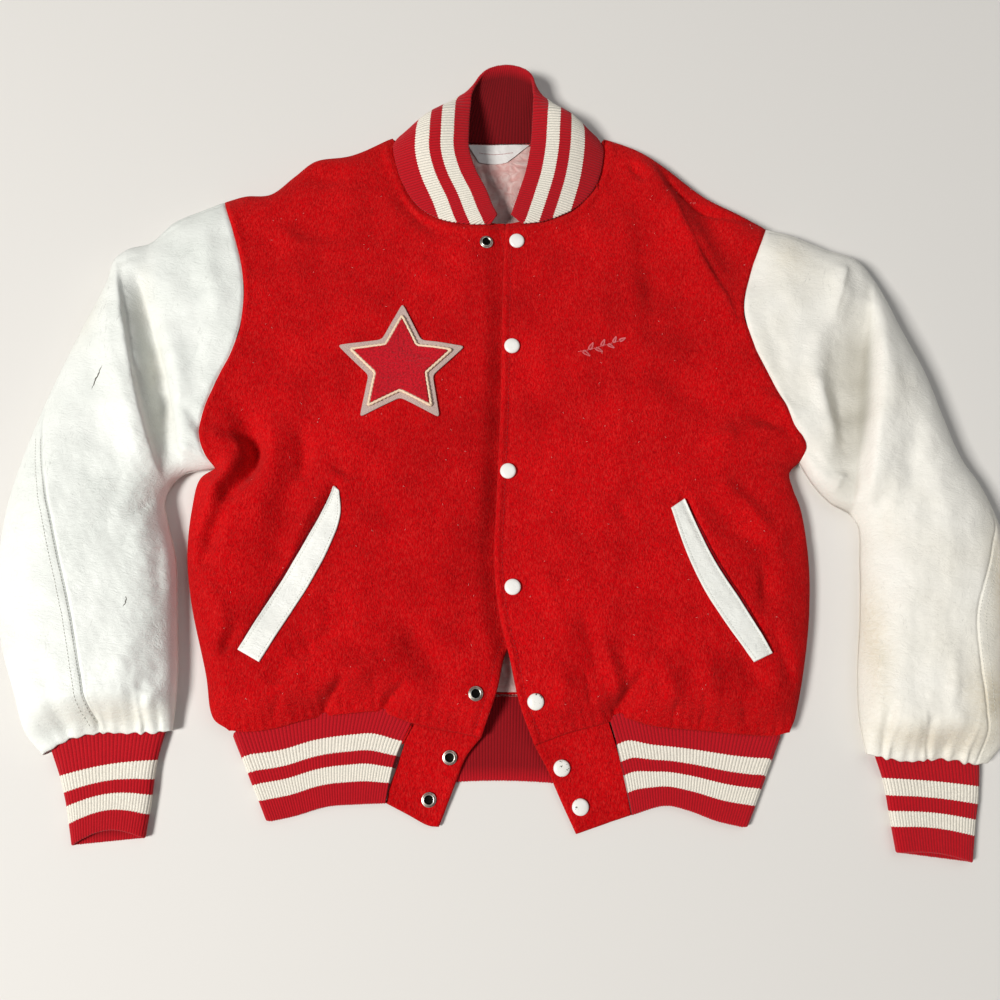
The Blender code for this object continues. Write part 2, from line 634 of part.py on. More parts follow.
def grid_mesh(points, facing, weld):
    """A mesh of rows and columns at the given points. weld joins points that fall together."""
    rows, columns = points.shape[:2]
    bm = bmesh.new()
    bmesh.ops.create_grid(bm, x_segments=columns - 1, y_segments=rows - 1, size=1.0)
    for vertex in bm.verts:
        row = round((vertex.co.y + 1) * (rows - 1) / 2)
        column = round((vertex.co.x + 1) * (columns - 1) / 2)
        vertex.co = Vector(points[row, column]) * MM
    if looks_away(points, facing):
        bmesh.ops.reverse_faces(bm, faces=bm.faces)
    if weld:
        bmesh.ops.remove_doubles(bm, verts=bm.verts, dist=1e-6)
    mesh = bpy.data.meshes.new("grid")
    bm.to_mesh(mesh)
    bm.free()
    return mesh


def level_rims(mesh, base):
    """Sets the inner side of each rim edge level with its outer side, so that two rims lie flat together.

    The inner side of the lip beside it stays at least half a lip away from that level.
    """
    count = len(base.vertices)
    for index, vertex in enumerate(base.vertices):
        offset = vertex.co.z / MM - RIM_HEIGHT
        inner = mesh.vertices[index + count].co
        if abs(abs(offset) - RIM_GAP / 2) < 1e-3:
            inner.z = vertex.co.z
        elif abs(abs(offset) - RIM_GAP / 2 - LIP) < 1e-3:
            sign = math.copysign(1, offset)
            least = (RIM_GAP + LIP) / 2
            inner.z = (RIM_HEIGHT + sign * max(least, sign * (inner.z / MM - RIM_HEIGHT))) * MM


def raise_points(mesh, base, points, relief):
    """Moves outer points of a thickened mesh out, or inner points where the relief is negative."""
    flat, rises = points.reshape(-1, 3), relief.reshape(-1)
    tree = KDTree(len(flat))
    for index, point in enumerate(flat):
        tree.insert(Vector(point) * MM, index)
    tree.balance()
    count = len(base.vertices)
    for index, vertex in enumerate(base.vertices):
        rise = rises[tree.find(vertex.co)[1]]
        if rise:
            target = mesh.vertices[index if rise > 0 else index + count]
            target.co += vertex.normal * (rise * MM)
    mesh.update()


# ---- wool body ----

def armhole_shares():
    """Shares along an armhole, from the shoulder, where the sleeve's two pieces have their points."""
    start = SLEEVE_SEAMS["right"][0].across
    wrap = [start * share for share in WRAP]
    return np.array(wrap + [start + (1 - start) * share for share in ACROSS[1:]])


def make_front(jacket, side):
    """A front, from its armhole and side to its front edge, and from shoulder and neck to hem."""
    armhole = edge("armhole_" + side, armhole_shares())
    flank = edge("side_" + side, SIDE)
    left = np.concatenate([armhole, flank[1:]])
    top = np.concatenate([edge("shoulder_" + side, SHOULDER), edge("neck_" + side, NECK)[1:]])
    down, over = shares_of(left), shares_of(top)
    right = edge("front_" + side, down)
    bottom = edge("hem_" + side, over)
    plan = four_sided(left, right, top, bottom, down, over)
    is_flank = np.arange(len(left)) >= len(armhole) - 1
    is_shoulder = np.arange(len(top)) < len(SHOULDER)
    none_down, none_over = np.zeros(len(left), bool), np.zeros(len(top), bool)
    seams = {"left": np.arange(len(left)) < len(armhole), "right": none_down,
             "top": none_over, "bottom": none_over}
    rims = {"left": is_flank, "right": none_down, "top": is_shoulder, "bottom": none_over}
    plan = bordered(plan, seams)
    points = rimmed(plan, front_height(plan, side), rims, True)
    piece = jacket.add_shell("front_" + side, points, WOOL, UP, "red_wool")
    jacket.remember(piece)


def make_back(jacket):
    """The back, flat on the floor, turned up along its shoulders and sides to meet the fronts."""
    shares = np.array(ACROSS, float)
    columns = {}
    for side in ("right", "left"):
        armhole = edge("armhole_" + side, shares)
        columns[side] = np.concatenate([armhole, edge("side_" + side, SIDE)[1:]])
    top = np.concatenate([
        edge("shoulder_right", SHOULDER), edge("neck_back", BACK_NECK)[1:],
        edge("shoulder_left", SHOULDER)[::-1][1:],
    ])
    down, over = shares_of(columns["right"]), shares_of(top)
    bottom = edge("hem_back", over)
    plan = four_sided(columns["right"], columns["left"], top, bottom, down, over)
    is_arm = np.arange(len(down)) < len(shares)
    is_flank = np.arange(len(down)) >= len(shares) - 1
    place = np.arange(len(over))
    is_shoulder = (place < len(SHOULDER)) | (place >= len(over) - len(SHOULDER))
    nowhere = np.zeros(len(over), bool)
    plan = bordered(plan, {"left": is_arm, "right": is_arm, "top": nowhere, "bottom": ~nowhere})
    rims = {"left": is_flank, "right": is_flank, "top": is_shoulder, "bottom": nowhere}
    points = rimmed(plan, lower_height(plan), rims, False)
    piece = jacket.add_shell("back_panel", points, WOOL, DOWN, "red_wool")
    jacket.remember(piece)


# ---- leather sleeves ----

def sleeve_plan(side, along_shares, across_shares):
    """Floor points of a sleeve. across_shares has a row of shares, 0 at the outer edge, for each along."""
    t = np.asarray(along_shares, float)[:, None, None]
    s = np.asarray(across_shares, float)[..., None]
    outer = edge("outer_" + side, along_shares)[:, None]
    inner = edge("inner_" + side, along_shares)[:, None]
    flat = np.asarray(across_shares, float)
    armhole = edge("armhole_" + side, flat.reshape(-1)).reshape(*flat.shape, 2)
    cuff = edge("cuff_seam_" + side, flat.reshape(-1)).reshape(*flat.shape, 2)
    corners = [edge(name + side, [share])[0] for name in ("armhole_", "cuff_seam_") for share in (0, 1)]
    blend = (1 - t) * ((1 - s) * corners[0] + s * corners[1]) + t * ((1 - s) * corners[2] + s * corners[3])
    return (1 - t) * armhole + t * cuff + (1 - s) * outer + s * inner - blend


def sleeve_top_height(plan, side):
    height = upper_height(plan, side, True)
    rim = rounded(depth_inside(plan), SLEEVE_RIM_ROUND)
    join = RIM_HEIGHT + (SLEEVE_JOIN - RIM_HEIGHT) * rim
    blend = smooth_step(distance(plan, PATHS["cuff_seam_" + side]) / SLEEVE_ROLL)
    return join + (np.maximum(height, join) - join) * blend


def sleeve_seam(side):
    stops = SLEEVE_SEAMS[side]
    return np.interp(ALONG, [stop.along for stop in stops], [stop.across for stop in stops])


def make_sleeve(jacket, side):
    """The top piece, and the under piece that wraps round the outer edge to the seam on top."""
    seam = sleeve_seam(side)[:, None]
    rows = np.ones(len(ALONG), bool)
    across = seam + (1 - seam) * np.array(ACROSS)[None]
    columns = np.ones(len(ACROSS), bool)
    plan = bordered(sleeve_plan(side, ALONG, across),
                    {"left": rows, "right": ~rows, "top": columns, "bottom": ~columns})
    rims = {"left": ~rows, "right": rows, "top": ~columns, "bottom": ~columns}
    points = rimmed(plan, sleeve_top_height(plan, side), rims, True)
    piece = jacket.add_shell("sleeve_top_" + side, points, LEATHER, UP, "white_leather")
    jacket.remember(piece)

    below = np.ones_like(seam) * np.array(ACROSS)[::-1][None]
    above = seam * np.array(WRAP)[None, 1:]
    across = np.concatenate([below, above], axis=1)
    columns = np.ones(across.shape[1], bool)
    plan = bordered(sleeve_plan(side, ALONG, across),
                    {"left": ~rows, "right": rows, "top": columns, "bottom": ~columns})
    heights = sleeve_top_height(plan, side)
    floor_columns = len(ACROSS) + 1
    heights[:, :floor_columns] = lower_height(plan[:, :floor_columns])
    heights[:, floor_columns - 1] = RIM_HEIGHT
    rims = {"left": rows, "right": ~rows, "top": ~columns, "bottom": ~columns}
    points = rimmed(plan, heights, rims, False)
    jacket.add_shell("sleeve_under_" + side, points, LEATHER, DOWN, "white_leather")


# ---- rib knit ----

def rib_relief(rows, columns, sides):
    """Raises every other column. sides gives +1 (outer side), -1 (inner side) or 0 for each column."""
    column = np.arange(columns)
    rise = np.where(column % 2 == 1, RIB_RISE, 0.0) * np.asarray(sides)
    return np.tile(rise, (rows, 1))


def rib_count(path):
    length = np.linalg.norm(np.diff(path, axis=0), axis=1).sum()
    return max(1, round(length / RIB_PITCH))


def make_cuff(jacket, side):
    """A flattened tube of rib, tucked into the sleeve's hem."""
    outer = edge("cuff_outer_" + side, CUFF_ROWS)
    inner = edge("cuff_inner_" + side, CUFF_ROWS)
    ribs = rib_count(np.array([outer[0], inner[0]]))
    over = np.linspace(0, 1, 2 * ribs + 1)
    under = np.linspace(1, 0, CUFF_UNDER)
    across = np.concatenate([over, under[1:]])
    middle = CUFF_HEIGHT / 2
    swell = (1 - np.abs(2 * across - 1) ** CUFF_SIDE_POWER) ** 0.5
    above = np.concatenate([np.ones(len(over)), -np.ones(len(under) - 1)])
    height = middle + middle * above * swell
    points = np.empty((len(CUFF_ROWS), len(across), 3))
    for row, share in enumerate(CUFF_ROWS):
        points[row, :, :2] = outer[row] + (inner[row] - outer[row]) * across[:, None]
        points[row, :, 1] += CUFF_SAG[side] * share * np.where(above > 0, np.sin(math.pi * across), 0)
        lift = CUFF_LIFT if share <= CUFF_ROWS[1] else 0.0
        points[row, :, 2] = height + np.where(above < 0, lift, 0.0)
        points[row, [0, len(over) - 1, -1], 2] += lift / 2
    points[:, -1] = points[:, 0]
    sides = np.concatenate([[0], np.ones(len(over) - 2), np.zeros(len(under))])
    relief = rib_relief(len(CUFF_ROWS), len(across), sides)
    jacket.add_shell("cuff_" + side, points, RIB_KNIT, OUT, "red_rib", weld=True, relief=relief)


def waistband_limb(side):
    """Top and lower edge of the band's front limb, from its tab to the side."""
    hem = PATHS["hem_" + side]
    tab = PATHS["tab_seam_" + side][0]
    start = 1 - np.abs(along(hem, np.linspace(0, 1, 200)) - tab).sum(axis=1).argmin() / 199
    shape = along(hem[::-1], np.linspace(start, 1, 60))
    side_top = PATHS["rib_side_" + side][0]
    turn = np.sign(side_top[0])
    inside = shape[(shape[:, 0] * turn < side_top[0] * turn - 2)]
    upper = np.vstack([inside, side_top]) + (0, HEM_TUCK)
    return upper, PATHS["rib_edge_" + side]


def make_waistband(jacket):
    """One strip of rib from the right tab, round under the back, to the left tab."""
    columns = []
    straight = (0, 0)

    def add_column(upper, lower, upper_z, lower_z, relief, bow):
        columns.append(((*upper, upper_z), (*lower, lower_z), relief, (*bow, 0)))

    def limb(side):
        upper, lower = waistband_limb(side)
        shares = np.linspace(0, 1, 2 * rib_count(upper) + 1)
        turn = 1 if side == "left" else -1
        tops, feet = along(upper, shares), along(lower, shares)
        seam = edge("tab_seam_" + side, (0, 0.5, 1))
        seam_bow = seam[1] - (seam[0] + seam[2]) / 2
        found = []
        for share, top, foot in zip(shares, tops, feet):
            near = share * BAND_TOP_HEM * 0.5
            shift = (-turn * near, 0)
            bow = seam_bow * (1 - share)
            found.append((top + shift, foot + shift, BAND_TOP_HEM, BAND_TOP_EDGE, 1, bow))
        return found

    def fold(side):
        upper, lower = waistband_limb(side)
        turn = 1 if side == "left" else -1
        found = []
        for angle in BAND_FOLD_ANGLES:
            swing = math.radians(angle)
            for_tuck = (0, -(HEM_TUCK + BAND_BACK_GAP) * smooth_step(angle / BAND_FOLD_ANGLES[-2]))
            tall, short = BAND_TOP_HEM / 2, BAND_TOP_EDGE / 2
            out = turn * (math.sin(swing) - 1)
            found.append((upper[-1] + for_tuck + (out * tall, 0), lower[-1] + (out * short, 0),
                          tall * (1 + math.cos(swing)), short * (1 + math.cos(swing)), 0, straight))
        return found

    right, left = limb("right"), limb("left")
    for entry in right + fold("right"):
        add_column(*entry)
    back_top = edge("hem_back", np.linspace(*BAND_BACK_TOP, BAND_BACK_STEPS)) - (0, BAND_BACK_GAP)
    back_foot = edge("rib_edge_back", np.linspace(*BAND_BACK_FOOT, BAND_BACK_STEPS))
    for share in np.linspace(0, 1, rib_count(back_top) + 1):
        top, foot = along(back_top, [share])[0], along(back_foot, [share])[0]
        shows = -1 if abs(top[0] - GAP_MIDDLE) < GAP_HALF else 0
        add_column(top, foot, 0.0, 0.0, shows, straight)
    for entry in fold("left")[::-1] + left[::-1]:
        add_column(*entry)
    upper = np.array([column[0] for column in columns])
    lower = np.array([column[1] for column in columns])
    middle = (upper + lower) / 2 + np.array([column[3] for column in columns])
    points = np.stack([upper, middle, lower])
    relief = rib_relief(3, len(columns), [column[2] for column in columns])
    jacket.add_shell("waistband", points, RIB_KNIT, UP, "red_rib", relief=relief)


def make_tab(jacket, side):
    """The doubled wool end of the front at the waistband."""
    down = np.linspace(0, 1, TAB_ROWS)
    over = np.linspace(0, 1, TAB_COLUMNS)
    turn = 1 if side == "left" else -1
    left = edge("tab_seam_" + side, down) - (turn * SEAM_GAP, 0)
    right = edge("tab_front_" + side, down)
    hem = PATHS["hem_" + side]
    shares = np.linspace(0, 1, 200)
    start = shares[np.abs(along(hem, shares) - left[0]).sum(axis=1).argmin()]
    top = edge("hem_" + side, over, start, 1)
    bottom = edge("tab_end_" + side, over)
    top[0], top[-1], bottom[0], bottom[-1] = left[0], right[0], left[-1], right[-1]
    plan = four_sided(left, right, top, bottom, down, over)
    plan[0, :, 1] += HEM_TUCK
    height = TAB_TOP - TAB_FALL * smooth_step(2 * down) - TAB_END_FALL * smooth_step(2 * down - 1)
    points = np.concatenate([plan, np.broadcast_to(height[:, None, None], plan[..., :1].shape)], axis=-1)
    piece = jacket.add_shell("tab_" + side, points, DOUBLE_WOOL, UP, "red_wool")
    jacket.remember(piece)


def make_collar(jacket):
    """The doubled rib collar: its seam follows the neck, its folded edge rings the opening."""
    seam, top, bulges = [], [], []
    for rib in COLLAR:
        height = rib.sz
        if not height:
            carrier = "front_right" if rib.sx < 0 else "front_left"
            height = jacket.surface(carrier, rib.sx, rib.sy)[0] + COLLAR_GAP + RIB_KNIT
        seam.append((rib.sx, rib.sy, height))
        top.append((rib.tx, rib.ty, rib.tz))
        bulges.append(rib.bulge)
    seam_path, top_path = smooth_path(seam, 8), smooth_path(top, 8)
    middle = (seam_path + top_path) / 2
    ribs = rib_count(middle)
    shares = np.linspace(0, 1, 2 * ribs + 1)
    reach = np.interp(shares, shares_of(middle), np.linspace(0, 1, len(middle)))
    index = reach * (len(middle) - 1)
    at = np.arange(len(middle))
    bulge = np.interp(reach, np.linspace(0, 1, len(bulges)), bulges)[:, None]
    seam_points = np.stack([np.interp(index, at, seam_path[:, k]) for k in range(3)], axis=-1)
    top_points = np.stack([np.interp(index, at, top_path[:, k]) for k in range(3)], axis=-1)
    heading = np.gradient((seam_points + top_points) / 2, axis=0)
    outward = np.cross(heading, top_points - seam_points)
    outward /= np.linalg.norm(outward, axis=1, keepdims=True)
    if outward[len(outward) // 8, 2] < 0:
        outward = -outward
    rows = []
    for share in np.linspace(0, 1, COLLAR_ROWS):
        curve = outward * bulge * math.sin(math.pi * share)
        rows.append(seam_points + (top_points - seam_points) * share + curve)
    points = np.array(rows)
    behind = (np.abs(seam_points[:, 0] - BEHIND_MIDDLE) < BEHIND_HALF) & (seam_points[:, 1] > BEHIND_FROM)
    sides = np.where(behind, -1, 1)
    sides[0] = sides[-1] = 0
    relief = rib_relief(COLLAR_ROWS, len(shares), sides)
    jacket.add_shell("collar", points, RIB_KNIT, UP, "red_rib", relief=relief)


# ---- pieces that lie on others ----

def make_welt(jacket, side):
    """A leather strip along the pocket mouth."""
    down = np.linspace(0, 1, WELT_ROWS)
    outer, inner = edge("welt_outer_" + side, down), edge("welt_inner_" + side, down)
    over = np.linspace(0, 1, WELT_COLUMNS)[None, :, None]
    plan = (1 - over) * outer[:, None] + over * inner[:, None]
    heights = jacket.heights_on("front_" + side, plan, LAY_GAP + LEATHER)
    points = np.concatenate([plan, heights[..., None]], axis=-1)
    jacket.add_shell("pocket_welt_" + side, points, LEATHER, UP, "white_leather")


def star_plan(radius):
    """Rings of points from the middle of a star out to its edge."""
    tips = 2 * STAR["points"]
    corners = []
    for corner in range(tips + 1):
        reach = radius if corner % 2 == 0 else radius * STAR["waist"]
        angle = math.pi / 2 - corner * 2 * math.pi / tips
        corners.append((reach * math.cos(angle), reach * math.sin(angle)))
    share = np.arange(tips * STAR_STEPS + 1) / STAR_STEPS
    at, corners = np.arange(tips + 1), np.array(corners)
    border = np.stack([np.interp(share, at, corners[:, k]) for k in (0, 1)], axis=-1)
    border[-1] = border[0]
    return np.array([border * ring for ring in STAR_RINGS]) + (STAR["x"], STAR["y"])


def make_star(jacket, name, radius, wall, carrier, finish):
    """A star-shaped pad that follows the cloth it lies on."""
    plan = star_plan(radius)
    heights = jacket.heights_on(carrier, plan, LAY_GAP + wall)
    heights[0] = heights[0].max()
    points = np.concatenate([plan, heights[..., None]], axis=-1)
    piece = jacket.add_shell(name, points, wall, UP, finish, weld=True)
    jacket.remember(piece)


def make_lining(jacket):
    """The satin of the back, where it shows inside the neck and in the gap at the hem."""
    for lining in LININGS:
        down = np.linspace(0, 1, lining.rows)[:, None, None]
        over = np.linspace(0, 1, lining.columns)[None, :, None]
        upper = (1 - over) * lining.upper_left + over * lining.upper_right
        lower = (1 - over) * lining.lower_left + over * lining.lower_right
        plan = (1 - down) * upper + down * lower
        x, y = plan[..., 0], plan[..., 1]
        ripple = np.sin(x * RIPPLE_ACROSS[0] + y * RIPPLE_ACROSS[1])
        ripple = ripple * np.sin(y * RIPPLE_DOWN[0] + RIPPLE_DOWN[1])
        heights = WOOL + LAY_GAP + SATIN + RIPPLE * (1 + ripple) * np.sin(math.pi * down[..., 0])
        points = np.concatenate([plan, heights[..., None]], axis=-1)
        piece = jacket.add_shell(lining.name, points, SATIN, UP, "pink_satin")
        jacket.remember(piece)


def make_label(jacket):
    """A plain satin label under the back neck seam."""
    plan = np.array([[(x, y) for x in LABEL_TOP] for y in LABEL_ROWS], float)
    plan[-1, :, 0] = LABEL_END
    heights = jacket.heights_on("lining_neck", plan, LAY_GAP + SATIN)
    points = np.concatenate([plan, heights[..., None]], axis=-1)
    jacket.add_shell("neck_label", points, SATIN, UP, "white_satin")


def turned(profile):
    """A closed solid turned about Z from (radius, height) pairs that run from the axis to the axis."""
    bm = bmesh.new()
    vertices = [bm.verts.new((radius * MM, 0, height * MM)) for radius, height in profile]
    edges = [bm.edges.new(pair) for pair in zip(vertices, vertices[1:])]
    bmesh.ops.spin(bm, geom=vertices + edges, cent=(0, 0, 0), axis=(0, 0, 1), angle=2 * math.pi,
                   steps=SNAP_STEPS, use_merge=True)
    bmesh.ops.remove_doubles(bm, verts=bm.verts, dist=1e-6)
    bmesh.ops.recalc_face_normals(bm, faces=bm.faces)
    mesh = bpy.data.meshes.new("turned")
    bm.to_mesh(mesh)
    bm.free()
    return mesh


def seat(jacket, obj, snap, radius):
    """Sets a small round piece on the cloth, square to it and just clear all round."""
    around = [(radius * math.cos(angle), radius * math.sin(angle)) for angle in np.arange(8) * math.pi / 4]
    heights = []
    normal = Vector()
    for x, y in [(0, 0)] + around:
        height, facing = jacket.surface(snap.carrier, snap.x + x, snap.y + y)
        if height is not None:
            heights.append((x, y, height))
            normal += facing
    normal.normalize()
    base = max(z + (x * normal.x + y * normal.y) / normal.z for x, y, z in heights)
    obj.location = Vector((snap.x, snap.y, base + SNAP_GAP)) * MM
    obj.rotation_mode = "QUATERNION"
    obj.rotation_quaternion = Vector((0, 0, 1)).rotation_difference(normal)


def make_snaps(jacket):
    """Enamelled caps down the closing front, and the open sockets that they close on."""
    for number, snap in enumerate(CAPS, 1):
        obj = jacket.add(f"snap_cap_{number}", turned(CAP_PROFILE), "white_enamel")
        seat(jacket, obj, snap, CAP_RADIUS)
    for number, snap in enumerate(SOCKETS, 1):
        obj = jacket.add(f"snap_socket_{number}", turned(SOCKET_PROFILE), "nickel")
        seat(jacket, obj, snap, SOCKET_RADIUS)


def main():
    clear_scene()
    jacket = Jacket()
    make_back(jacket)
    for side in ("right", "left"):
        make_front(jacket, side)
        make_sleeve(jacket, side)
        make_cuff(jacket, side)
        make_tab(jacket, side)
        make_welt(jacket, side)
    make_waistband(jacket)
    make_collar(jacket)
    make_lining(jacket)
    make_label(jacket)
    make_star(jacket, "patch_felt", STAR["radius"], FELT, "front_right", "grey_felt")
    inside = STAR["radius"] - 2 * STAR["border"]
    make_star(jacket, "patch_chenille", inside, CHENILLE, "patch_felt", "red_chenille")
    make_snaps(jacket)


main()
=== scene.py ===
"""Finished look of a varsity jacket that lies flat on a pale floor, front up, sleeves bent down.

Napped red wool body, creased off-white leather sleeves, striped rib knit at neck, wrists and waist,
enamelled snaps, leather pocket welts, a satin lining where it shows and a star patch on the chest.

Plans and heights are worked out in millimetres and turned to metres when a mesh is made. "left" and
"right" are the wearer's. +X runs towards the left sleeve, +Y from the hem to the collar, +Z up.
"""

import json
import logging
import math
from dataclasses import dataclass, field
from enum import Enum
from functools import partial
from typing import Callable, NamedTuple, Sequence

import bmesh
import bpy
import numpy as np
from bpy.types import Material, Node, NodeSocket, NodeTree, Object
from mathutils import Matrix, Vector
from mathutils.bvhtree import BVHTree

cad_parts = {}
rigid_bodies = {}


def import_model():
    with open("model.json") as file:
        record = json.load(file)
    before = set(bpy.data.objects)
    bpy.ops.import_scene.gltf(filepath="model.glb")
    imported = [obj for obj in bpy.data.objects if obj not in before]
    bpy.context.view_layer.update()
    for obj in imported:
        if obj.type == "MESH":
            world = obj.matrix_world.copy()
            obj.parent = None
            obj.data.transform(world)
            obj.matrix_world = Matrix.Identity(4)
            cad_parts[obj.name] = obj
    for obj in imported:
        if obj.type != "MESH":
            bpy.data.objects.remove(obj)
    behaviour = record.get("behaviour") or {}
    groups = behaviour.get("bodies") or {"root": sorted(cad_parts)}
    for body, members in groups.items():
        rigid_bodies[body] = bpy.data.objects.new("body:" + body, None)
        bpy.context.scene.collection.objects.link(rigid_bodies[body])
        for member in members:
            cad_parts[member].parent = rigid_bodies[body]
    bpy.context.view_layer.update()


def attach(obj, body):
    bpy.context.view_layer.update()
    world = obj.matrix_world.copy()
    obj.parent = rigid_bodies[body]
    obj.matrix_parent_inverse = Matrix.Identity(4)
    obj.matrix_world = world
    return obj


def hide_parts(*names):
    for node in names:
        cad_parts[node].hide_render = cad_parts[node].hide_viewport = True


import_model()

LOG = logging.getLogger("varsity_jacket")
MM = 0.001
Points = np.ndarray
Adder = Callable[..., NodeSocket]


class Side(Enum):
    """The wearer's side that a piece belongs to."""

    RIGHT = "right"
    LEFT = "left"


class Held(Enum):
    """How a piece of cloth is held."""

    LAID = "laid"
    FOLDED = "folded"


# Edges of the cloth as it lies, a few (x, y) stops each, which a smooth course passes through
EDGES: dict[str, tuple[tuple[float, float], ...]] = {
    "armhole_right": (
        (-281, 241), (-266, 200), (-253, 150), (-252, 105), (-259, 74), (-275, 36), (-285, -4),
        (-279, -27), (-272, -37),
    ),
    "armhole_left": (
        (263, 211), (250, 181), (240, 152), (232, 118), (240, 79), (257, 39), (272, 4), (284, -18),
        (280, -31),
    ),
    "side_right": (
        (-272, -37), (-286, -47), (-292, -78), (-293, -120), (-286, -165), (-268, -230),
        (-260, -266), (-246, -281),
    ),
    "side_left": (
        (280, -31), (270, -41), (272, -56), (278, -76), (282, -124), (279, -174), (270, -226),
        (260, -266), (255, -282),
    ),
    "shoulder_right": (
        (-281, 241), (-260, 248), (-236, 250), (-213, 270), (-192, 288), (-156, 295), (-114, 316),
    ),
    "shoulder_left": (
        (263, 211), (238, 227), (203, 248), (166, 280), (137, 301), (103, 315),
    ),
    "neck_right": (
        (-114, 316), (-107, 289), (-96, 261), (-79, 233), (-56, 219), (-30, 213), (2, 214),
    ),
    "neck_left": (
        (103, 315), (99, 286), (88, 256), (70, 233), (48, 220), (22, 215), (2, 212),
    ),
    "neck_back": ((-114, 316), (-60, 314), (-5, 313), (50, 314), (103, 315)),
    "front_right": (
        (2, 214), (13, 150), (24, 82), (21, 0), (22, -90), (25, -146), (13, -188), (1, -212),
        (-6, -243), (-20, -284),
    ),
    "front_left": (
        (2, 212), (-1, 142), (-3, 28), (-7, -70), (-9, -126), (-5, -172), (5, -215), (14, -256),
        (27, -291),
    ),
    "hem_right": (
        (-246, -281), (-207, -277), (-172, -268), (-134, -263), (-112, -262), (-80, -272),
        (-20, -284),
    ),
    "hem_left": (
        (255, -282), (236, -283), (172, -278), (131, -274), (105, -267), (93, -271), (58, -280),
        (27, -291),
    ),
    "hem_back": ((-246, -281), (-120, -256), (2, -246), (125, -257), (255, -282)),
    "outer_right": (
        (-281, 241), (-303, 231), (-331, 217), (-352, 195), (-372, 189), (-387, 176), (-392, 152),
        (-415, 94), (-436, 34), (-452, -20), (-464, -78), (-465, -140), (-455, -200), (-438, -246),
        (-424, -281), (-408, -299),
    ),
    "inner_right": (
        (-272, -37), (-304, -43), (-318, -64), (-313, -92), (-304, -122), (-298, -180),
        (-294, -235), (-295, -278),
    ),
    "cuff_seam_right": ((-408, -299), (-388, -286), (-360, -279), (-326, -279), (-295, -278)),
    "outer_left": (
        (263, 211), (287, 204), (319, 189), (350, 177), (368, 152), (388, 102), (407, 55),
        (419, 12), (432, -28), (448, -56), (463, -102), (467, -150), (463, -204), (454, -251),
        (443, -287), (427, -306),
    ),
    "inner_left": (
        (280, -31), (290, -50), (305, -69), (329, -87), (329, -130), (325, -180), (319, -225),
        (317, -268), (321, -298),
    ),
    "cuff_seam_left": ((427, -306), (410, -305), (386, -301), (357, -303), (321, -298)),
    "rib_side_right": ((-242, -282), (-224, -314), (-214, -336), (-208, -355)),
    "rib_side_left": ((247, -283), (232, -306), (221, -340), (213, -360)),
    "rib_edge_right": ((-104, -340), (-128, -341), (-158, -343), (-188, -351), (-208, -355)),
    "rib_edge_left": ((112, -350), (143, -342), (164, -346), (190, -355), (213, -360)),
    "rib_edge_back": ((-208, -355), (-120, -331), (-3, -321), (110, -332), (213, -360)),
    "tab_seam_right": ((-81, -273), (-96, -304), (-104, -340)),
    "tab_seam_left": ((94, -271), (104, -306), (112, -350)),
    "tab_front_right": ((-20, -284), (-33, -300), (-43, -324), (-57, -360)),
    "tab_front_left": ((27, -291), (38, -311), (50, -338), (63, -366)),
    "tab_end_right": ((-104, -340), (-84, -350), (-66, -359), (-57, -360)),
    "tab_end_left": ((112, -350), (96, -355), (78, -361), (63, -366)),
    "cuff_outer_right": ((-403, -292), (-392, -318), (-384, -342), (-376, -375)),
    "cuff_inner_right": ((-301, -274), (-308, -306), (-310, -338), (-313, -369)),
    "cuff_outer_left": ((421, -301), (418, -330), (411, -362), (406, -389)),
    "cuff_inner_left": ((328, -295), (335, -322), (338, -352), (341, -381)),
    "welt_outer_right": ((-236, -208), (-198, -140), (-174, -95), (-161, -68), (-157, -57)),
    "welt_inner_right": ((-216, -219), (-177, -151), (-158, -112), (-150, -84), (-152, -62)),
    "welt_outer_left": ((238, -211), (212, -163), (194, -132), (180, -101), (167, -69)),
    "welt_inner_left": ((221, -219), (209, -202), (181, -155), (166, -118), (154, -78)),
}

# The outline of the whole laid jacket, where its sides round down to the floor
OUTLINE = (
    "shoulder_right", "outer_right", "inner_right", "side_right", "shoulder_left", "outer_left",
    "inner_left", "side_left",
)


class Swell(NamedTuple):
    """A broad rise or hollow of the laid cloth."""

    x: float
    y: float
    half_x: float
    half_y: float
    rise: float


SWELLS = (
    Swell(-95, 285, 60, 55, -8.0),
    Swell(88, 285, 55, 55, -8.0),
    Swell(-190, -215, 80, 55, 6.0),
    Swell(185, -215, 75, 55, 7.0),
    Swell(-262, -95, 38, 70, 6.0),
    Swell(-205, 60, 70, 90, 3.0),
    Swell(120, 40, 70, 80, 3.0),
    Swell(10, -60, 40, 160, -4.0),
    Swell(-410, -60, 50, 110, 7.0),
    Swell(-385, -215, 55, 60, 5.0),
    Swell(-368, 150, 30, 40, 4.0),
    Swell(410, -160, 55, 110, 6.0),
    Swell(400, 20, 40, 80, 6.0),
    Swell(300, 60, 40, 90, -3.0),
)


class Fold(NamedTuple):
    """A crease: its stops, its width, its rise and how far it wanders.

    left and right are its two sides as seen with its first stop up. A stepped one is high on its wider side.
    """

    stops: tuple[tuple[float, float], ...]
    left: float
    right: float
    rise: float
    wander: float = 0.0


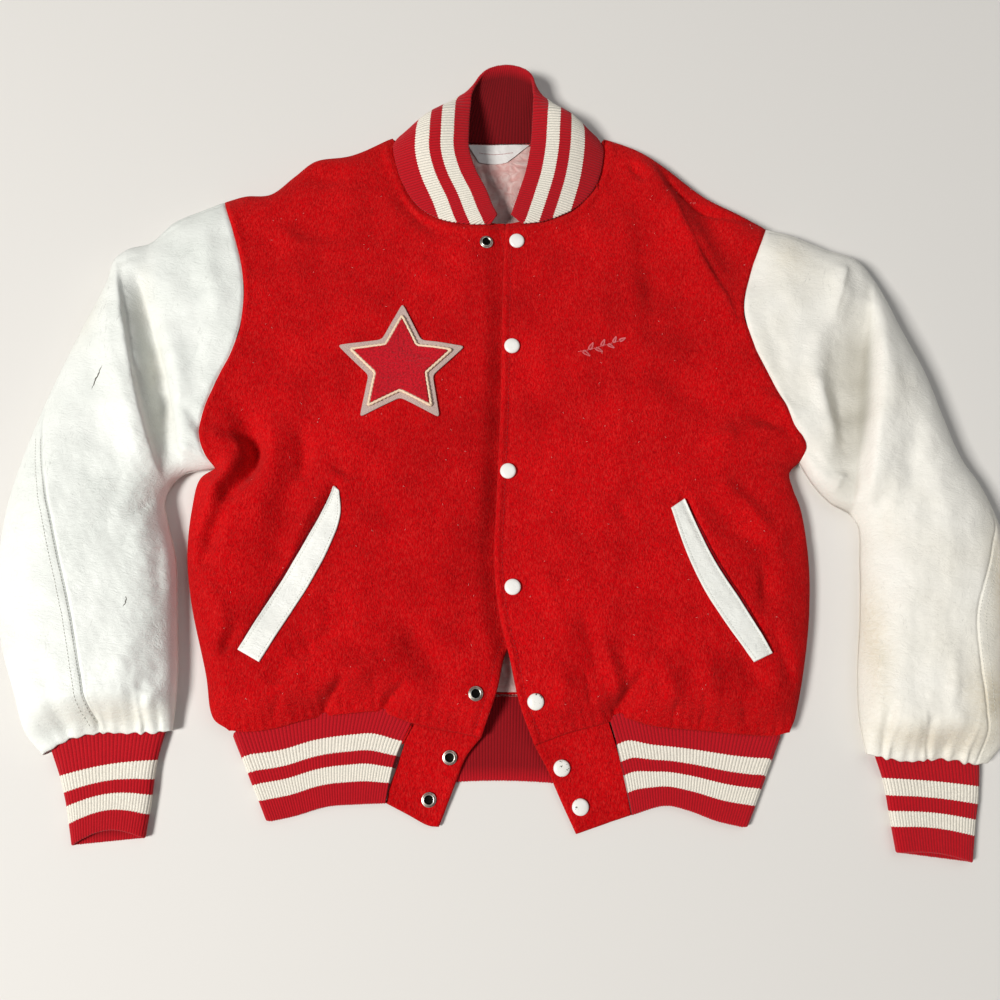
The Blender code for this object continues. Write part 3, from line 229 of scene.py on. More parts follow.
# The folds that the solids have too
MAIN_FOLDS = (
    # the bend of the right sleeve: the lower sleeve lies over a deep fold beside it
    Fold(((-374, 168), (-350, 70), (-316, -58)), 26, 8, 5.0),
    Fold(((-354, 162), (-332, 66), (-310, -50)), 9, 17, -10.0),
    # the bend of the left sleeve: the lower sleeve lies over a broad hollow of the upper
    Fold(((366, 140), (350, 55), (334, -84)), 8, 26, 8.0),
    Fold(((352, 122), (338, 40), (324, -72)), 24, 8, -14.0),
    Fold(((334, 162), (328, 132), (320, 100)), 10, 6, 5.0),
    Fold(((306, 100), (302, 40), (316, -40)), 9, 9, 4.0),
    # the wool under the right arm
    Fold(((-256, 22), (-232, -22), (-262, -76)), 9, 10, -10.0),
    Fold(((-276, -22), (-262, -48), (-276, -100)), 10, 9, 5.0),
    Fold(((-190, 8), (-194, -40), (-214, -126)), 12, 14, -5.0),
    Fold(((-214, 10), (-218, -50), (-238, -120)), 11, 11, 3.0),
    Fold(((-114, 276), (-92, 244), (-58, 208)), 10, 11, -4.0),
    Fold(((-200, 268), (-182, 262), (-158, 268)), 10, 14, -4.0),
    Fold(((-252, -202), (-206, -168), (-150, -130)), 10, 12, -3.0),
    # the left shoulder: a long ridge to the armhole with a hollow beside it
    Fold(((136, 296), (178, 222), (230, 112)), 22, 9, 6.0),
    Fold(((164, 284), (206, 222), (250, 132)), 15, 20, -7.0),
    Fold(((134, 56), (186, 28), (248, 2)), 15, 14, -4.0),
    Fold(((226, 20), (250, 6), (278, -10)), 8, 8, -5.0),
    Fold(((236, 36), (258, 22), (276, 8)), 8, 8, 4.0),
    Fold(((184, -62), (216, -96), (252, -124)), 14, 11, -5.0),
    Fold(((252, -124), (264, -112), (278, -100)), 7, 8, -5.0),
    # the waist: soft hollows above the gathered hem
    Fold(((206, -210), (218, -226), (232, -242)), 9, 8, -4.0),
    Fold(((70, -168), (80, -206), (86, -248)), 7, 9, -3.0),
)


class Pucker(NamedTuple):
    """A gather that runs up from the wool hem."""

    x: float
    y: float
    half: float
    reach: float
    rise: float


PUCKERS = (
    Pucker(-226, -279, 10, 34, 2.5), Pucker(-190, -273, 11, 40, 3.5), Pucker(-172, -268, 6, 26, -3.5),
    Pucker(-150, -265, 9, 30, 3.5), Pucker(-116, -262, 6, 26, -3.5), Pucker(-98, -267, 9, 26, 3.0),
    Pucker(-60, -276, 12, 30, 2.0), Pucker(60, -280, 11, 28, 2.0), Pucker(86, -274, 8, 34, 3.0),
    Pucker(108, -268, 6, 26, -4.0), Pucker(126, -272, 9, 44, 4.0), Pucker(150, -276, 10, 32, 3.0),
    Pucker(184, -279, 11, 36, 3.5), Pucker(222, -282, 11, 30, 2.5),
)

# Finer folds that only the finished cloth has: soft ones first, then pinched ones
WOOL_FOLDS = (
    Fold(((-113, 253), (-91, 224), (-59, 195)), 7, 8, -3.2, 1),
    Fold(((-240, 220), (-201, 205), (-156, 197)), 10, 16, -3.2, 2),
    Fold(((-256, -74), (-267, -103), (-273, -135)), 7, 8, -8.0, 1),
    Fold(((-275, -2), (-259, -22), (-252, -45)), 7, 7, 5.0, 1),
    Fold(((-191, -3), (-187, -28), (-191, -52)), 6, 7, -6.0, 1),
    Fold(((-201, -90), (-207, -122), (-219, -150)), 11, 13, -3.2, 2),
    Fold(((-252, -212), (-245, -199), (-238, -186)), 4, 5, -6.0, 0.6),
    Fold(((-210, -236), (-181, -212), (-138, -187)), 7, 9, -6.4, 2),
    Fold(((-179, -255), (-141, -231), (-84, -206)), 9, 9, 5.6, 2),
    Fold(((-112, -163), (-75, -199), (-56, -243)), 12, 12, -3.2, 2),
    Fold(((-253, 0), (-238, -15), (-235, -32), (-247, -51), (-261, -72)), 5, 8, -7.2, 0.6),
    Fold(((-262, -6), (-248, -20), (-249, -33), (-260, -51), (-274, -78)), 5, 5, 4.4, 0.6),
    Fold(((-160, -36), (-151, -42), (-143, -48)), 3, 3, -3.6, 0.6),
    Fold(((-165, -58), (-182, -90), (-198, -127)), 6, 3, 3.2, 0.6),
    Fold(((-163, -13), (-142, -71), (-138, -127)), 16, 16, 2.6, 2),
    Fold(((-272, -149), (-255, -171), (-248, -199)), 8, 8, 3.2, 1),
    Fold(((134, 241), (143, 160), (152, 82)), 14, 24, -6.8, 2),
    Fold(((128, 283), (135, 270), (143, 258)), 3.5, 4, -6.0, 0.4),
    Fold(((184, -15), (222, -7), (266, -1)), 7, 8, 4.4, 1),
    Fold(((200, -52), (228, -82), (248, -108)), 9, 8, 5.2, 1),
    Fold(((234, -127), (238, -152), (234, -174)), 6, 8, -6.0, 1),
    Fold(((86, -195), (96, -224), (104, -252)), 6, 7, 4.8, 1),
    Fold(((127, -224), (115, -243), (106, -258)), 5, 5, -6.8, 0.6),
    Fold(((135, -212), (145, -234), (148, -262)), 8, 9, 4.4, 1),
    Fold(((100, -74), (109, -82), (121, -90)), 6, 8, -3.0, 1),
    Fold(((38, -127), (47, -172), (55, -208)), 10, 12, 2.8, 2),
    Fold(((240, -185), (249, -212), (255, -243)), 7, 7, -4.4, 1),
    Fold(((166, -199), (178, -224), (183, -255)), 9, 9, 3.2, 1),
    Fold(((50, -217), (53, -243), (51, -267)), 7, 7, 2.8, 1),
)

WOOL_PINCHES = (
    Fold(((-255, 1), (-242, -13), (-234, -28), (-241, -49)), 5, 4, -4.48, 0.6),
    Fold(((-272, -40), (-259, -59), (-261, -88)), 4, 4, -2.24, 0.6),
    Fold(((239, -18), (256, -13), (272, -6)), 4, 3, -4.2, 0.4),
    Fold(((226, -41), (249, -50), (262, -62)), 4, 4, -2.24, 0.5),
    Fold(((-164, -270), (-156, -251), (-138, -227)), 6, 4.5, -10.5, 0.5),
    Fold(((-113, -270), (-102, -251), (-86, -234)), 6, 4.5, -9.8, 0.5),
    Fold(((97, -276), (103, -255), (115, -236)), 6.5, 5, -11.2, 0.5),
    Fold(((77, -257), (75, -243), (72, -222)), 3.5, 4, -3.64, 0.5),
    Fold(((139, 288), (156, 279), (172, 254), (196, 230), (218, 223), (237, 217),
         (257, 209)), 2.0, 2.0, -6.3, 0.2),
    Fold(((-207, -275), (-202, -258), (-194, -243)), 3, 3, -3.08, 0.5),
    Fold(((-65, -270), (-60, -255), (-52, -243)), 3, 3, -2.24, 0.5),
    Fold(((173, -276), (178, -258), (175, -243)), 3, 3, -3.36, 0.5),
    Fold(((149, -276), (151, -262), (157, -248)), 3, 3, -2.52, 0.5),
    Fold(((215, -281), (213, -262), (207, -246)), 3, 3, -2.8, 0.5),
)

WOOL_LIPS = (
    Fold(((152, 275), (172, 232), (186, 197), (199, 163), (216, 132), (230, 96)), 27, 25, 4.0, 0.6),
)

LEATHER_LIPS = (
    Fold(((-377, 171), (-365, 126), (-354, 80), (-344, 40), (-333, 5), (-323, -29),
         (-312, -68)), 24, 21, 5.5, 0.4),
    Fold(((-358, 160), (-344, 121), (-328, 75), (-314, 25), (-305, -14), (-297, -64)), 5, 20, 2.4, 0.4),
    Fold(((357, 147), (347, 73), (340, 12), (330, -34), (322, -96)), 30, 34, 5.0, 0.5),
    Fold(((337, 166), (326, 136), (317, 106)), 11, 5, 2.2, 0.3),
)

LEATHER_FOLDS = (
    Fold(((-390, 166), (-374, 85), (-326, -53)), 26, 8, 3.0, 0.4),
    Fold(((-364, 160), (-339, 80), (-309, -43)), 9, 17, -4.25, 0.4),
    Fold(((-333, 146), (-304, 85), (-286, 5)), 12, 18, -3.25, 0.6),
    Fold(((-376, 164), (-391, 127), (-402, 86)), 8, 10, -1.25, 1.5),
    Fold(((-319, 177), (-296, 125), (-279, 73)), 11, 11, -1.5, 2),
    Fold(((-292, 199), (-280, 145), (-269, 94)), 8, 8, 1.5, 2),
    Fold(((-341, 126), (-310, 45), (-297, -24)), 10, 10, 1.75, 2),
    Fold(((-393, 78), (-378, 23), (-370, -27)), 9, 9, -1.0, 2),
    Fold(((-305, 27), (-290, 5), (-277, -18)), 5, 6, -2.75, 1),
    Fold(((-311, -13), (-295, -24), (-278, -32)), 4, 5, 2.5, 1),
    Fold(((-323, -73), (-329, -110), (-324, -146)), 8, 8, 1.5, 2),
    Fold(((-311, -85), (-314, -127), (-307, -172)), 5, 6, -2.5, 2),
    Fold(((-353, -44), (-358, -92), (-353, -128)), 9, 9, -1.12, 2),
    Fold(((-408, -54), (-414, -101), (-411, -155)), 9, 8, 1.25, 2),
    Fold(((-435, -90), (-434, -145), (-424, -199)), 7, 7, -1.75, 2),
    Fold(((-294, -213), (-320, -245), (-338, -281)), 8, 10, -3.25, 1),
    Fold(((-316, -173), (-332, -217), (-343, -252)), 8, 8, 2.0, 2),
    Fold(((-304, -243), (-312, -257), (-314, -274)), 5, 5, 2.25, 1),
    Fold(((-407, -208), (-394, -252), (-387, -282)), 6, 6, -2.5, 1),
    Fold(((-379, -243), (-374, -262), (-376, -284)), 6, 6, 2.25, 1),
    Fold(((263, 164), (281, 125), (293, 86)), 10, 10, 1.75, 2),
    Fold(((322, 90), (314, 25), (314, -47)), 15, 13, -6.25, 1),
    Fold(((246, 125), (255, 84), (270, 48)), 8, 8, -1.75, 2),
    Fold(((321, 108), (298, 87), (293, 57), (300, 29), (308, -5), (303, -45)), 9, 7, 3.25, 1),
    Fold(((277, -4), (290, -28), (307, -48)), 5, 6, -2.25, 1),
    Fold(((318, -42), (309, -58), (301, -71)), 4, 5, 2.5, 0.5),
    Fold(((358, 93), (361, 43), (358, -7)), 10, 10, 1.5, 2),
    Fold(((375, 23), (377, -26), (359, -92)), 10, 10, -2.25, 2),
    Fold(((353, -43), (345, -90), (344, -136)), 7, 7, -1.75, 2),
    Fold(((392, -44), (399, -101), (397, -155)), 10, 10, 1.75, 2),
    Fold(((372, -164), (362, -209), (362, -260)), 9, 9, -1.75, 2),
    Fold(((396, -200), (390, -243), (392, -281)), 7, 7, 2.25, 2),
    Fold(((340, -252), (335, -273), (336, -293)), 5, 5, -3.0, 1),
    Fold(((374, -262), (369, -279), (371, -296)), 5, 5, -2.5, 1),
    Fold(((329, -199), (328, -243), (324, -277)), 5, 5, 1.75, 1),
    Fold(((445, -70), (452, -127), (448, -181)), 6, 7, 1.5, 2),
)

LEATHER_PINCHES = (
    Fold(((-397, 87), (-384, 91), (-372, 85)), 1.6, 1.6, -0.7, 0.6),
    Fold(((-390, 79), (-375, 81), (-362, 76)), 1.6, 1.8, -0.8, 0.6),
    Fold(((-384, 71), (-371, 73), (-355, 67)), 1.4, 1.6, -0.6, 0.6),
    Fold(((-379, 97), (-367, 93), (-359, 94)), 1.5, 1.5, -0.8, 0.5),
    Fold(((-317, -53), (-325, -72), (-335, -83)), 2.4, 3, -1.2, 0.5),
    Fold(((-326, -59), (-328, -72), (-336, -76)), 2, 2, -1.0, 0.5),
    Fold(((-347, 190), (-332, 198), (-299, 226)), 1.6, 2.0, -1.8, 0.3),
    Fold(((-379, 171), (-371, 164), (-358, 171)), 2.4, 2.4, -2.0, 0.3),
    Fold(((-277, 125), (-289, 84), (-296, 51)), 2.4, 2.4, -0.8, 0.6),
    Fold(((322, -42), (309, -63), (295, -71)), 2.4, 3, -1.2, 0.5),
    Fold(((365, 43), (376, 39), (384, 31)), 1.6, 1.6, -0.9, 0.5),
    Fold(((367, 31), (377, 37), (384, 45)), 1.4, 1.4, -0.7, 0.5),
    Fold(((328, -112), (336, -126), (352, -132)), 2.6, 2.6, -1.0, 0.5),
    Fold(((-299, -126), (-311, -137), (-326, -137)), 2.6, 2.6, -0.9, 0.5),
    Fold(((-292, -199), (-304, -206), (-317, -202)), 2.6, 2.6, -0.9, 0.5),
    Fold(((446, -79), (453, -89), (457, -102)), 2, 2, -1.2, 0.5),
)

CRACKS = (
    Fold(((-376, 55), (-379, 47), (-382, 40), (-384, 32)), 0.6, 0.6, -1, 0),
    Fold(((-336, -161), (-336, -167), (-338, -171)), 0.4, 0.4, -1, 0),
)

LINING_FOLDS = (
    Fold(((-19, 288), (-9, 271), (-3, 248)), 3, 3, 1.8, 1),
    Fold(((9, 288), (5, 265), (1, 243)), 3, 3, -1.4, 1),
    Fold(((-26, 294), (-18, 271), (-10, 243)), 2.5, 2.5, -1.6, 0.6),
    Fold(((-3, -219), (2, -230), (6, -242)), 3, 3, 1.2, 1),
)


# Where the leather is rubbed grey, and where it has yellowed; the last three yellowed patches are painted
# shade.
WORN = (
    Swell(-395, 130, 40, 60, 0.7),
    Swell(-430, -20, 40, 70, 0.45),
    Swell(-380, -230, 60, 60, 0.35),
    Swell(-300, 120, 30, 60, 0.3),
    Swell(380, 120, 40, 60, 0.35),
    Swell(300, 150, 40, 50, 0.3),
    Swell(440, -180, 40, 90, 0.35),
    Swell(350, -220, 30, 60, 0.25),
)
STAINED_AND_SHADED = (
    Swell(452, -170, 18, 70, 1.3),
    Swell(425, -250, 25, 30, 0.9),
    Swell(330, -200, 12, 60, 0.8),
    Swell(280, 170, 20, 30, 0.4),
    Swell(-410, 120, 25, 40, 0.35),
    Swell(-340, -265, 50, 14, 0.5),
    Swell(370, -285, 50, 14, 0.7),
    # painted shade: these three lie along the hollow of the right sleeve's bend
    Swell(-347, 120, 9, 34, 0.35),
    Swell(-333, 60, 9, 34, 0.35),
    Swell(-322, 0, 9, 30, 0.35),
)

# How deep the slit of a pocket lies beside its welt
POCKET_MOUTH_DEPTH = 2.6

# How far the wool's lower corners are pulled in to round them, at the foot of each side
CORNER_PULLS = {"side_right": (2.5, 3.0), "side_left": (-2.0, 2.5)}
CORNER_REACH = 12.0


class Crest(Enum):
    """How a fine fold runs across its width."""

    ROUND = "round"
    SHARP = "sharp"
    STEP = "step"
    UNDER_STEP = "under_step"


def smooth_step(value: Points) -> Points:
    """An even ease from 0 to 1."""
    value = np.clip(value, 0.0, 1.0)
    return value * value * (3.0 - 2.0 * value)


def rounded(depth: Points, radius: Points | float) -> Points:
    """Rise from 0 at a rim to 1 at the given depth, along a quarter of an ellipse."""
    return np.sqrt(1 - np.clip(1 - depth / radius, 0, 1) ** 2)


def bell(gap: Points, width: Points | float) -> Points:
    """A soft bump: 1 where the gap is 0, fading out over a width."""
    return np.exp(-(gap / width) ** 2)


class Ridge(NamedTuple):
    """A line that stands up beside an edge, or lies sunk where its rise is below 0."""

    inset: float
    width: float
    rise: float

    def on(self, gap: Points) -> Points:
        """Its height, for distances from the edge."""
        return self.rise * bell(gap - self.inset, self.width)


def unit(vectors: Points) -> Points:
    """The same directions, each 1 long."""
    return vectors / np.maximum(np.linalg.norm(vectors, axis=-1, keepdims=True), 1e-9)


def ragged(place: Points, seed: float, amount: float = 1.0) -> Points:
    """A smooth uneven wave along a place, the same each time for one seed."""
    wave = np.sin(place + seed * 1.7) * 0.5 + np.sin(place * 2.3 + seed * 3.1) * 0.3
    return amount * (wave + np.sin(place * 5.1 + seed * 5.3) * 0.2)


def crumple(points: Points, pitch: float, seed: float) -> Points:
    """Soft uneven dents all over a plane, from a few crossing waves."""
    x, y = points[..., 0] / pitch, points[..., 1] / pitch
    total = np.zeros(x.shape)
    for turn in range(6):
        angle = seed + turn * 1.047 + 0.3 * math.sin(turn * 4.1 + seed)
        run = x * math.cos(angle) + y * math.sin(angle)
        bend = x * math.sin(angle) - y * math.cos(angle)
        sway = 1.3 * np.sin(bend * 1.9 + turn)
        total += np.sin(2 * math.pi * run * (0.6 + 0.17 * turn) + sway + seed * turn)
    return total / 3.4


@dataclass(frozen=True)
class Course:
    """A smooth line, in millimetres."""

    line: Points

    @classmethod
    def through(cls, stops: Sequence[Sequence[float]], steps: int = 8) -> "Course":
        """A smooth course through a few stops."""
        points = np.asarray(stops, float)
        ends = np.vstack([2 * points[0] - points[1], points, 2 * points[-1] - points[-2]])
        share = np.linspace(0, 1, steps, endpoint=False)[:, None]
        line = []
        for a, b, c, d in zip(ends, ends[1:], ends[2:], ends[3:]):
            gaps = [max(float(np.linalg.norm(q - p)), 1e-6) ** 0.5 for p, q in ((a, b), (b, c), (c, d))]
            k1, k2, k3 = np.cumsum(gaps)
            t = k1 + (k2 - k1) * share
            ab = (a * (k1 - t) + b * t) / k1
            bc = (b * (k2 - t) + c * (t - k1)) / (k2 - k1)
            cd = (c * (k3 - t) + d * (t - k2)) / (k3 - k2)
            near = (ab * (k2 - t) + bc * t) / k2
            far = (bc * (k3 - t) + cd * (t - k1)) / (k3 - k1)
            line.append((near * (k2 - t) + far * (t - k1)) / (k2 - k1))
        return cls(np.vstack(line + [points[-1:]]))

    def joined(self, *others: "Course") -> "Course":
        """This course with others behind it, end to end."""
        return Course(np.vstack([self.line] + [other.line[1:] for other in others]))

    def back(self) -> "Course":
        """The same course, run the other way."""
        return Course(self.line[::-1])

    def aside(self, inset: float) -> "Course":
        """The same course, moved to the right of its run, or to the left for an inset below 0."""
        ahead = unit(np.gradient(self.line, axis=0))
        return Course(self.line + np.stack([ahead[:, 1], -ahead[:, 0]], axis=-1) * inset)

    def close(self, points: Points, reach: float) -> Points:
        """Whether points lie in the box round the course, widened by a reach."""
        low, high = self.line.min(axis=0) - reach, self.line.max(axis=0) + reach
        return np.all((points > low) & (points < high), axis=-1)

    def shares(self) -> Points:
        """Share of the length at each of its points."""
        run = np.concatenate([[0], np.cumsum(np.linalg.norm(np.diff(self.line, axis=0), axis=1))])
        return run / run[-1]

    def length(self) -> float:
        """Its length in millimetres."""
        return float(np.linalg.norm(np.diff(self.line, axis=0), axis=1).sum())

    def at(self, shares: Points | Sequence[float]) -> Points:
        """Places at shares of its length."""
        known, wanted = self.shares(), np.asarray(shares, float)
        return np.stack([np.interp(wanted, known, axis) for axis in self.line.T], axis=-1)

    def part(self, start: float, end: float, count: int = 80) -> "Course":
        """The stretch between two shares of its length."""
        return Course(self.at(np.linspace(start, end, count)))

    def nearest(self, points: Points) -> tuple[Points, Points]:
        """How far points lie from the course, and beside which share of its length.

        Args:
            points: Places on the plan.

        Returns:
            The distance, above 0 on the left of its run and below 0 on the right, and the share.
        """
        flat = np.asarray(points, float).reshape(-1, 2)
        a = self.line[:-1]
        span = self.line[1:] - a
        size = np.maximum((span ** 2).sum(-1), 1e-12)
        known = self.shares()
        gaps, shares = np.empty(len(flat)), np.empty(len(flat))
        for start in range(0, len(flat), 4000):
            part = flat[start:start + 4000, None]
            along = np.clip(((part - a) * span).sum(-1) / size, 0, 1)
            offset = part - (a + along[..., None] * span)
            squares = (offset ** 2).sum(-1)
            best = squares.argmin(axis=1)
            row = np.arange(len(best))
            gap = offset[row, best]
            turn = span[best, 0] * gap[:, 1] - span[best, 1] * gap[:, 0]
            done = slice(start, start + len(best))
            gaps[done] = np.copysign(np.sqrt(squares[row, best]), turn)
            shares[done] = known[best] + along[row, best] * (known[best + 1] - known[best])
        shape = np.asarray(points).shape[:-1]
        return gaps.reshape(shape), shares.reshape(shape)

    def gap(self, points: Points) -> Points:
        """How far points lie from the course, on either side."""
        return np.abs(self.nearest(points)[0])


PATHS = {name: Course.through(stops) for name, stops in EDGES.items()}


def graded(length: float, step: float) -> Points:
    """Shares of a length, close together near its ends and even between."""
    fine = [distance for distance in (0.0, 0.5, 1.1, 1.9, 2.9, 4.2, 5.8) if distance < 3 * step]
    middle = length - fine[-1] - fine[-1]
    count = max(1, round(middle / step))
    inner = fine[-1] + middle * np.arange(1, count) / count
    return np.concatenate([fine, inner, length - np.array(fine[::-1])]) / length


def four_sided(
    left: Points, right: Points, top: Points, bottom: Points, down: Points, over: Points,
) -> Points:
    """Places inside four edges, blended from them. Rows run down, columns across.

    Args:
        left, right: The side edges at the shares in down.
        top, bottom: The end edges at the shares in over.
        down: Share of the height of each row.
        over: Share of the width of each column.

    Returns:
        A grid of places.
    """
    down, over = np.asarray(down)[:, None, None], np.asarray(over)[None, :, None]
    sides = (1 - over) * left[:, None] + over * right[:, None]
    ends = (1 - down) * top[None] + down * bottom[None]
    corners = (1 - down) * ((1 - over) * top[0] + over * top[-1]) + down * (
        (1 - over) * bottom[0] + over * bottom[-1])
    return sides + ends - corners


def fold_rise(
    points: Points, folds: Sequence[Fold], crest: Crest = Crest.ROUND, slope: float = 1.2,
) -> Points:
    """Height that creases add to the cloth.

    Args:
        points: Places on the plan.
        folds: The creases.
        crest: How they run across.
        slope: Half the width of a step's slope, in millimetres.

    Returns:
        Heights in millimetres.
    """
    rise = np.zeros(points.shape[:-1])
    for number, fold in enumerate(folds):
        course = Course.through(fold.stops, 12)
        reach = 4.5 * max(fold.left, fold.right) + abs(fold.wander)
        near = course.close(points, reach)
        if not near.any():
            continue
        gap, share = course.nearest(points[near])
        gap = gap + ragged(share * course.length() / 14, number + 1.0, fold.wander)
        width = np.where(gap > 0, fold.right, fold.left)
        fade = np.sin(math.pi * np.clip(share, 0, 1)).clip(0) ** 0.7
        if fold.wander:
            fade = fade * (1 + ragged(share * 9, number + 0.5, 0.35))
        if crest is Crest.ROUND:
            drop = bell(gap, width)
        elif crest is Crest.SHARP:
            drop = np.exp(-np.abs(gap / width))
        else:
            beside = -gap if (fold.left >= fold.right) == (crest is Crest.STEP) else gap
            drop = 0.5 * (1 + np.tanh(beside / slope)) * bell(np.maximum(beside, 0), width)
        rise[near] += fold.rise * fade * drop
    return rise


def drawn_to(points: Points, folds: Sequence[Fold], reach: float = 9.0) -> Points:
    """Places of a grid, drawn in towards the lines of stepped folds so that these come out crisp."""
    points = points.copy()
    for fold in folds:
        course = Course.through(fold.stops, 12)
        near = course.close(points, reach)
        if near.any():
            gap, share = course.nearest(points[near])
            foot = course.at(share)
            pull = np.sin(math.pi * share.clip(0, 1)) ** 0.5
            scale = (np.abs(gap) / reach).clip(0, 1) ** 0.7
            points[near] = foot + (points[near] - foot) * (1 + (scale - 1) * pull)[:, None]
    return points


def unfolded(plan: Points, reach: int = 16, rounds: int = 240) -> Points:
    """A grid with its overlapping cells eased apart and its border kept.

    Args:
        plan: Rows and columns of places.
        reach: How many cells round an overlap are eased too.
        rounds: How many times they are evened out.

    Returns:
        The new grid, its lines as even as on a map drawn without a fold.
    """
    plan = plan.copy()
    near = np.zeros(plan.shape[:2], bool)
    for row, column in np.argwhere(cell_areas(plan) <= 0.02):
        near[max(row - reach, 0):row + reach + 2, max(column - reach, 0):column + reach + 2] = True
    near = near[1:-1, 1:-1]
    for _ in range(rounds if near.any() else 0):
        down, over = (plan[2:, 1:-1] - plan[:-2, 1:-1]) / 2, (plan[1:-1, 2:] - plan[1:-1, :-2]) / 2
        twist = (plan[2:, 2:] - plan[:-2, 2:] - plan[2:, :-2] + plan[:-2, :-2]) / 4
        along, across = (over ** 2).sum(-1)[..., None], (down ** 2).sum(-1)[..., None]
        mixed = (down * over).sum(-1)[..., None]
        even = along * (plan[2:, 1:-1] + plan[:-2, 1:-1]) + across * (plan[1:-1, 2:] + plan[1:-1, :-2])
        even = (even - 2 * mixed * twist) / (2 * (along + across))
        plan[1:-1, 1:-1][near] += 0.8 * (even - plan[1:-1, 1:-1])[near]
    return plan


def cell_areas(plan: Points) -> Points:
    """The least corner area of each cell of a grid, below 0 where it overlaps."""
    parts = []
    for turn, rows, columns in ((1, 1, 1), (-1, -1, 1), (-1, 1, -1), (1, -1, -1)):
        turned = plan[::rows, ::columns]
        down, over = np.diff(turned[:, :-1], axis=0), np.diff(turned[:-1], axis=1)
        parts.append(turn * (down[..., 0] * over[..., 1] - down[..., 1] * over[..., 0])[::rows, ::columns])
    return np.min([part * np.sign(np.median(part)) for part in parts], axis=0)


def swelled(points: Points, swells: Sequence[Swell]) -> Points:
    """Height that broad swells add to the cloth, or how strongly patches show on it."""
    total = np.zeros(points.shape[:-1])
    for swell in swells:
        offset = (points - (swell.x, swell.y)) / (swell.half_x, swell.half_y)
        total += swell.rise * np.exp(-(offset ** 2).sum(-1))
    return total


@dataclass(frozen=True)
class LaidForm:
    """How high the laid jacket stands over each place on the floor. All sizes in millimetres."""

    rim: float = 9.0
    parting: float = 0.25
    body: float = 24.0
    sleeve: float = 37.0
    body_round: float = 27.0
    sleeve_round: float = 48.0
    under_round: float = 10.0
    armhole_blend: float = 35.0
    lowest: float = 8.5
    hem_join: float = 14.3
    hem_roll: float = 32.0
    hem_round: float = 6.0
    cuff_join: float = 15.0
    cuff_roll: float = 36.0
    cuff_round: float = 7.0
    placket_drop: float = 3.5
    placket_ramp: float = 20.0

    def depth(self, points: Points) -> Points:
        """How far inside the outline of the laid jacket each place is, up to where it stops to matter."""
        reach = self.sleeve_round + 12
        depth = np.full(points.shape[:-1], reach)
        for name in OUTLINE:
            near = PATHS[name].close(points, reach)
            if near.any():
                depth[near] = np.minimum(depth[near], PATHS[name].gap(points[near]))
        return depth

    def upper(self, points: Points, side: Side, sleeve: bool) -> Points:
        """Height of the upper cloth, the same on both sides of an armhole.

        Args:
            points: Places on the plan.
            side: Which side of the jacket.
            sleeve: True for leather, False for wool.

        Returns:
            Heights in millimetres.
        """
        depth = self.depth(points)
        nearness = 0.5 * np.exp(-PATHS["armhole_" + side.value].gap(points) / self.armhole_blend)
        share = 1 - nearness if sleeve else nearness
        height = self.body + (self.sleeve - self.body) * share
        radius = self.body_round + (self.sleeve_round - self.body_round) * share
        height = height + swelled(points, SWELLS) + fold_rise(points, MAIN_FOLDS)
        return np.maximum(self.rim + (height - self.rim) * rounded(depth, radius), self.lowest)

    def lower(self, points: Points) -> Points:
        """Height of the underside, flat on the floor and turned up at the rim."""
        return self.rim * (1 - rounded(self.depth(points), self.under_round))

    def front(self, points: Points, side: Side) -> Points:
        """Height of a wool front: it comes down to the waistband, the right one dips under the left."""
        height = self.upper(points, side, False)
        for pucker in PUCKERS:
            reach = np.exp(-np.maximum(points[..., 1] - pucker.y, 0) / pucker.reach)
            height = height + pucker.rise * bell(points[..., 0] - pucker.x, pucker.half) * reach
        seam = "hem_" + side.value
        height = self.joined(points, height, seam, self.hem_join, self.hem_round, self.hem_roll)
        if side is Side.RIGHT:
            path = PATHS["front_left"].line
            x_edge = np.interp(-points[..., 1], -path[:, 1], path[:, 0])
            dip = smooth_step((points[..., 0] - x_edge + self.placket_ramp) / self.placket_ramp)
            height = height - self.placket_drop * dip
        return height

    def sleeve_top(self, points: Points, side: Side) -> Points:
        """Height of the upper leather of a sleeve, which comes down to its cuff."""
        height = self.upper(points, side, True)
        seam = "cuff_seam_" + side.value
        return self.joined(points, height, seam, self.cuff_join, self.cuff_round, self.cuff_roll)

    def joined(
        self, points: Points, height: Points, seam: str, join: float, radius: float, roll: float,
    ) -> Points:
        """Heights that come down to a seam.

        Args:
            points: Places on the plan.
            height: Their heights without the seam.
            seam: Its course.
            join: Its height.
            radius: How far in from the rim it has that height.
            roll: How far from it the cloth comes down.

        Returns:
            The new heights.
        """
        foot = self.rim + (join - self.rim) * rounded(self.depth(points), radius)
        blend = smooth_step(PATHS[seam].gap(points) / roll)
        return foot + (np.maximum(height, foot) - foot) * blend


FORM = LaidForm()


class Wrap(Enum):
    """How a grid of cloth closes: not at all, where its edges meet, or there and with capped ends."""

    OPEN = "open"
    WELDED = "welded"
    CAPPED = "capped"


def grid_normals(points: Points) -> Points:
    """Normals of a grid of points, from the steps between its neighbours."""
    return unit(np.cross(np.gradient(points, axis=0), np.gradient(points, axis=1)))


def placed(name: str, bm: bmesh.types.BMesh) -> Object:
    """A new object in the scene with a bmesh's faces, shaded smooth."""
    mesh = bpy.data.meshes.new(name)
    bm.to_mesh(mesh)
    bm.free()
    mesh.shade_smooth()
    obj = bpy.data.objects.new(name, mesh)
    bpy.context.scene.collection.objects.link(obj)
    return obj


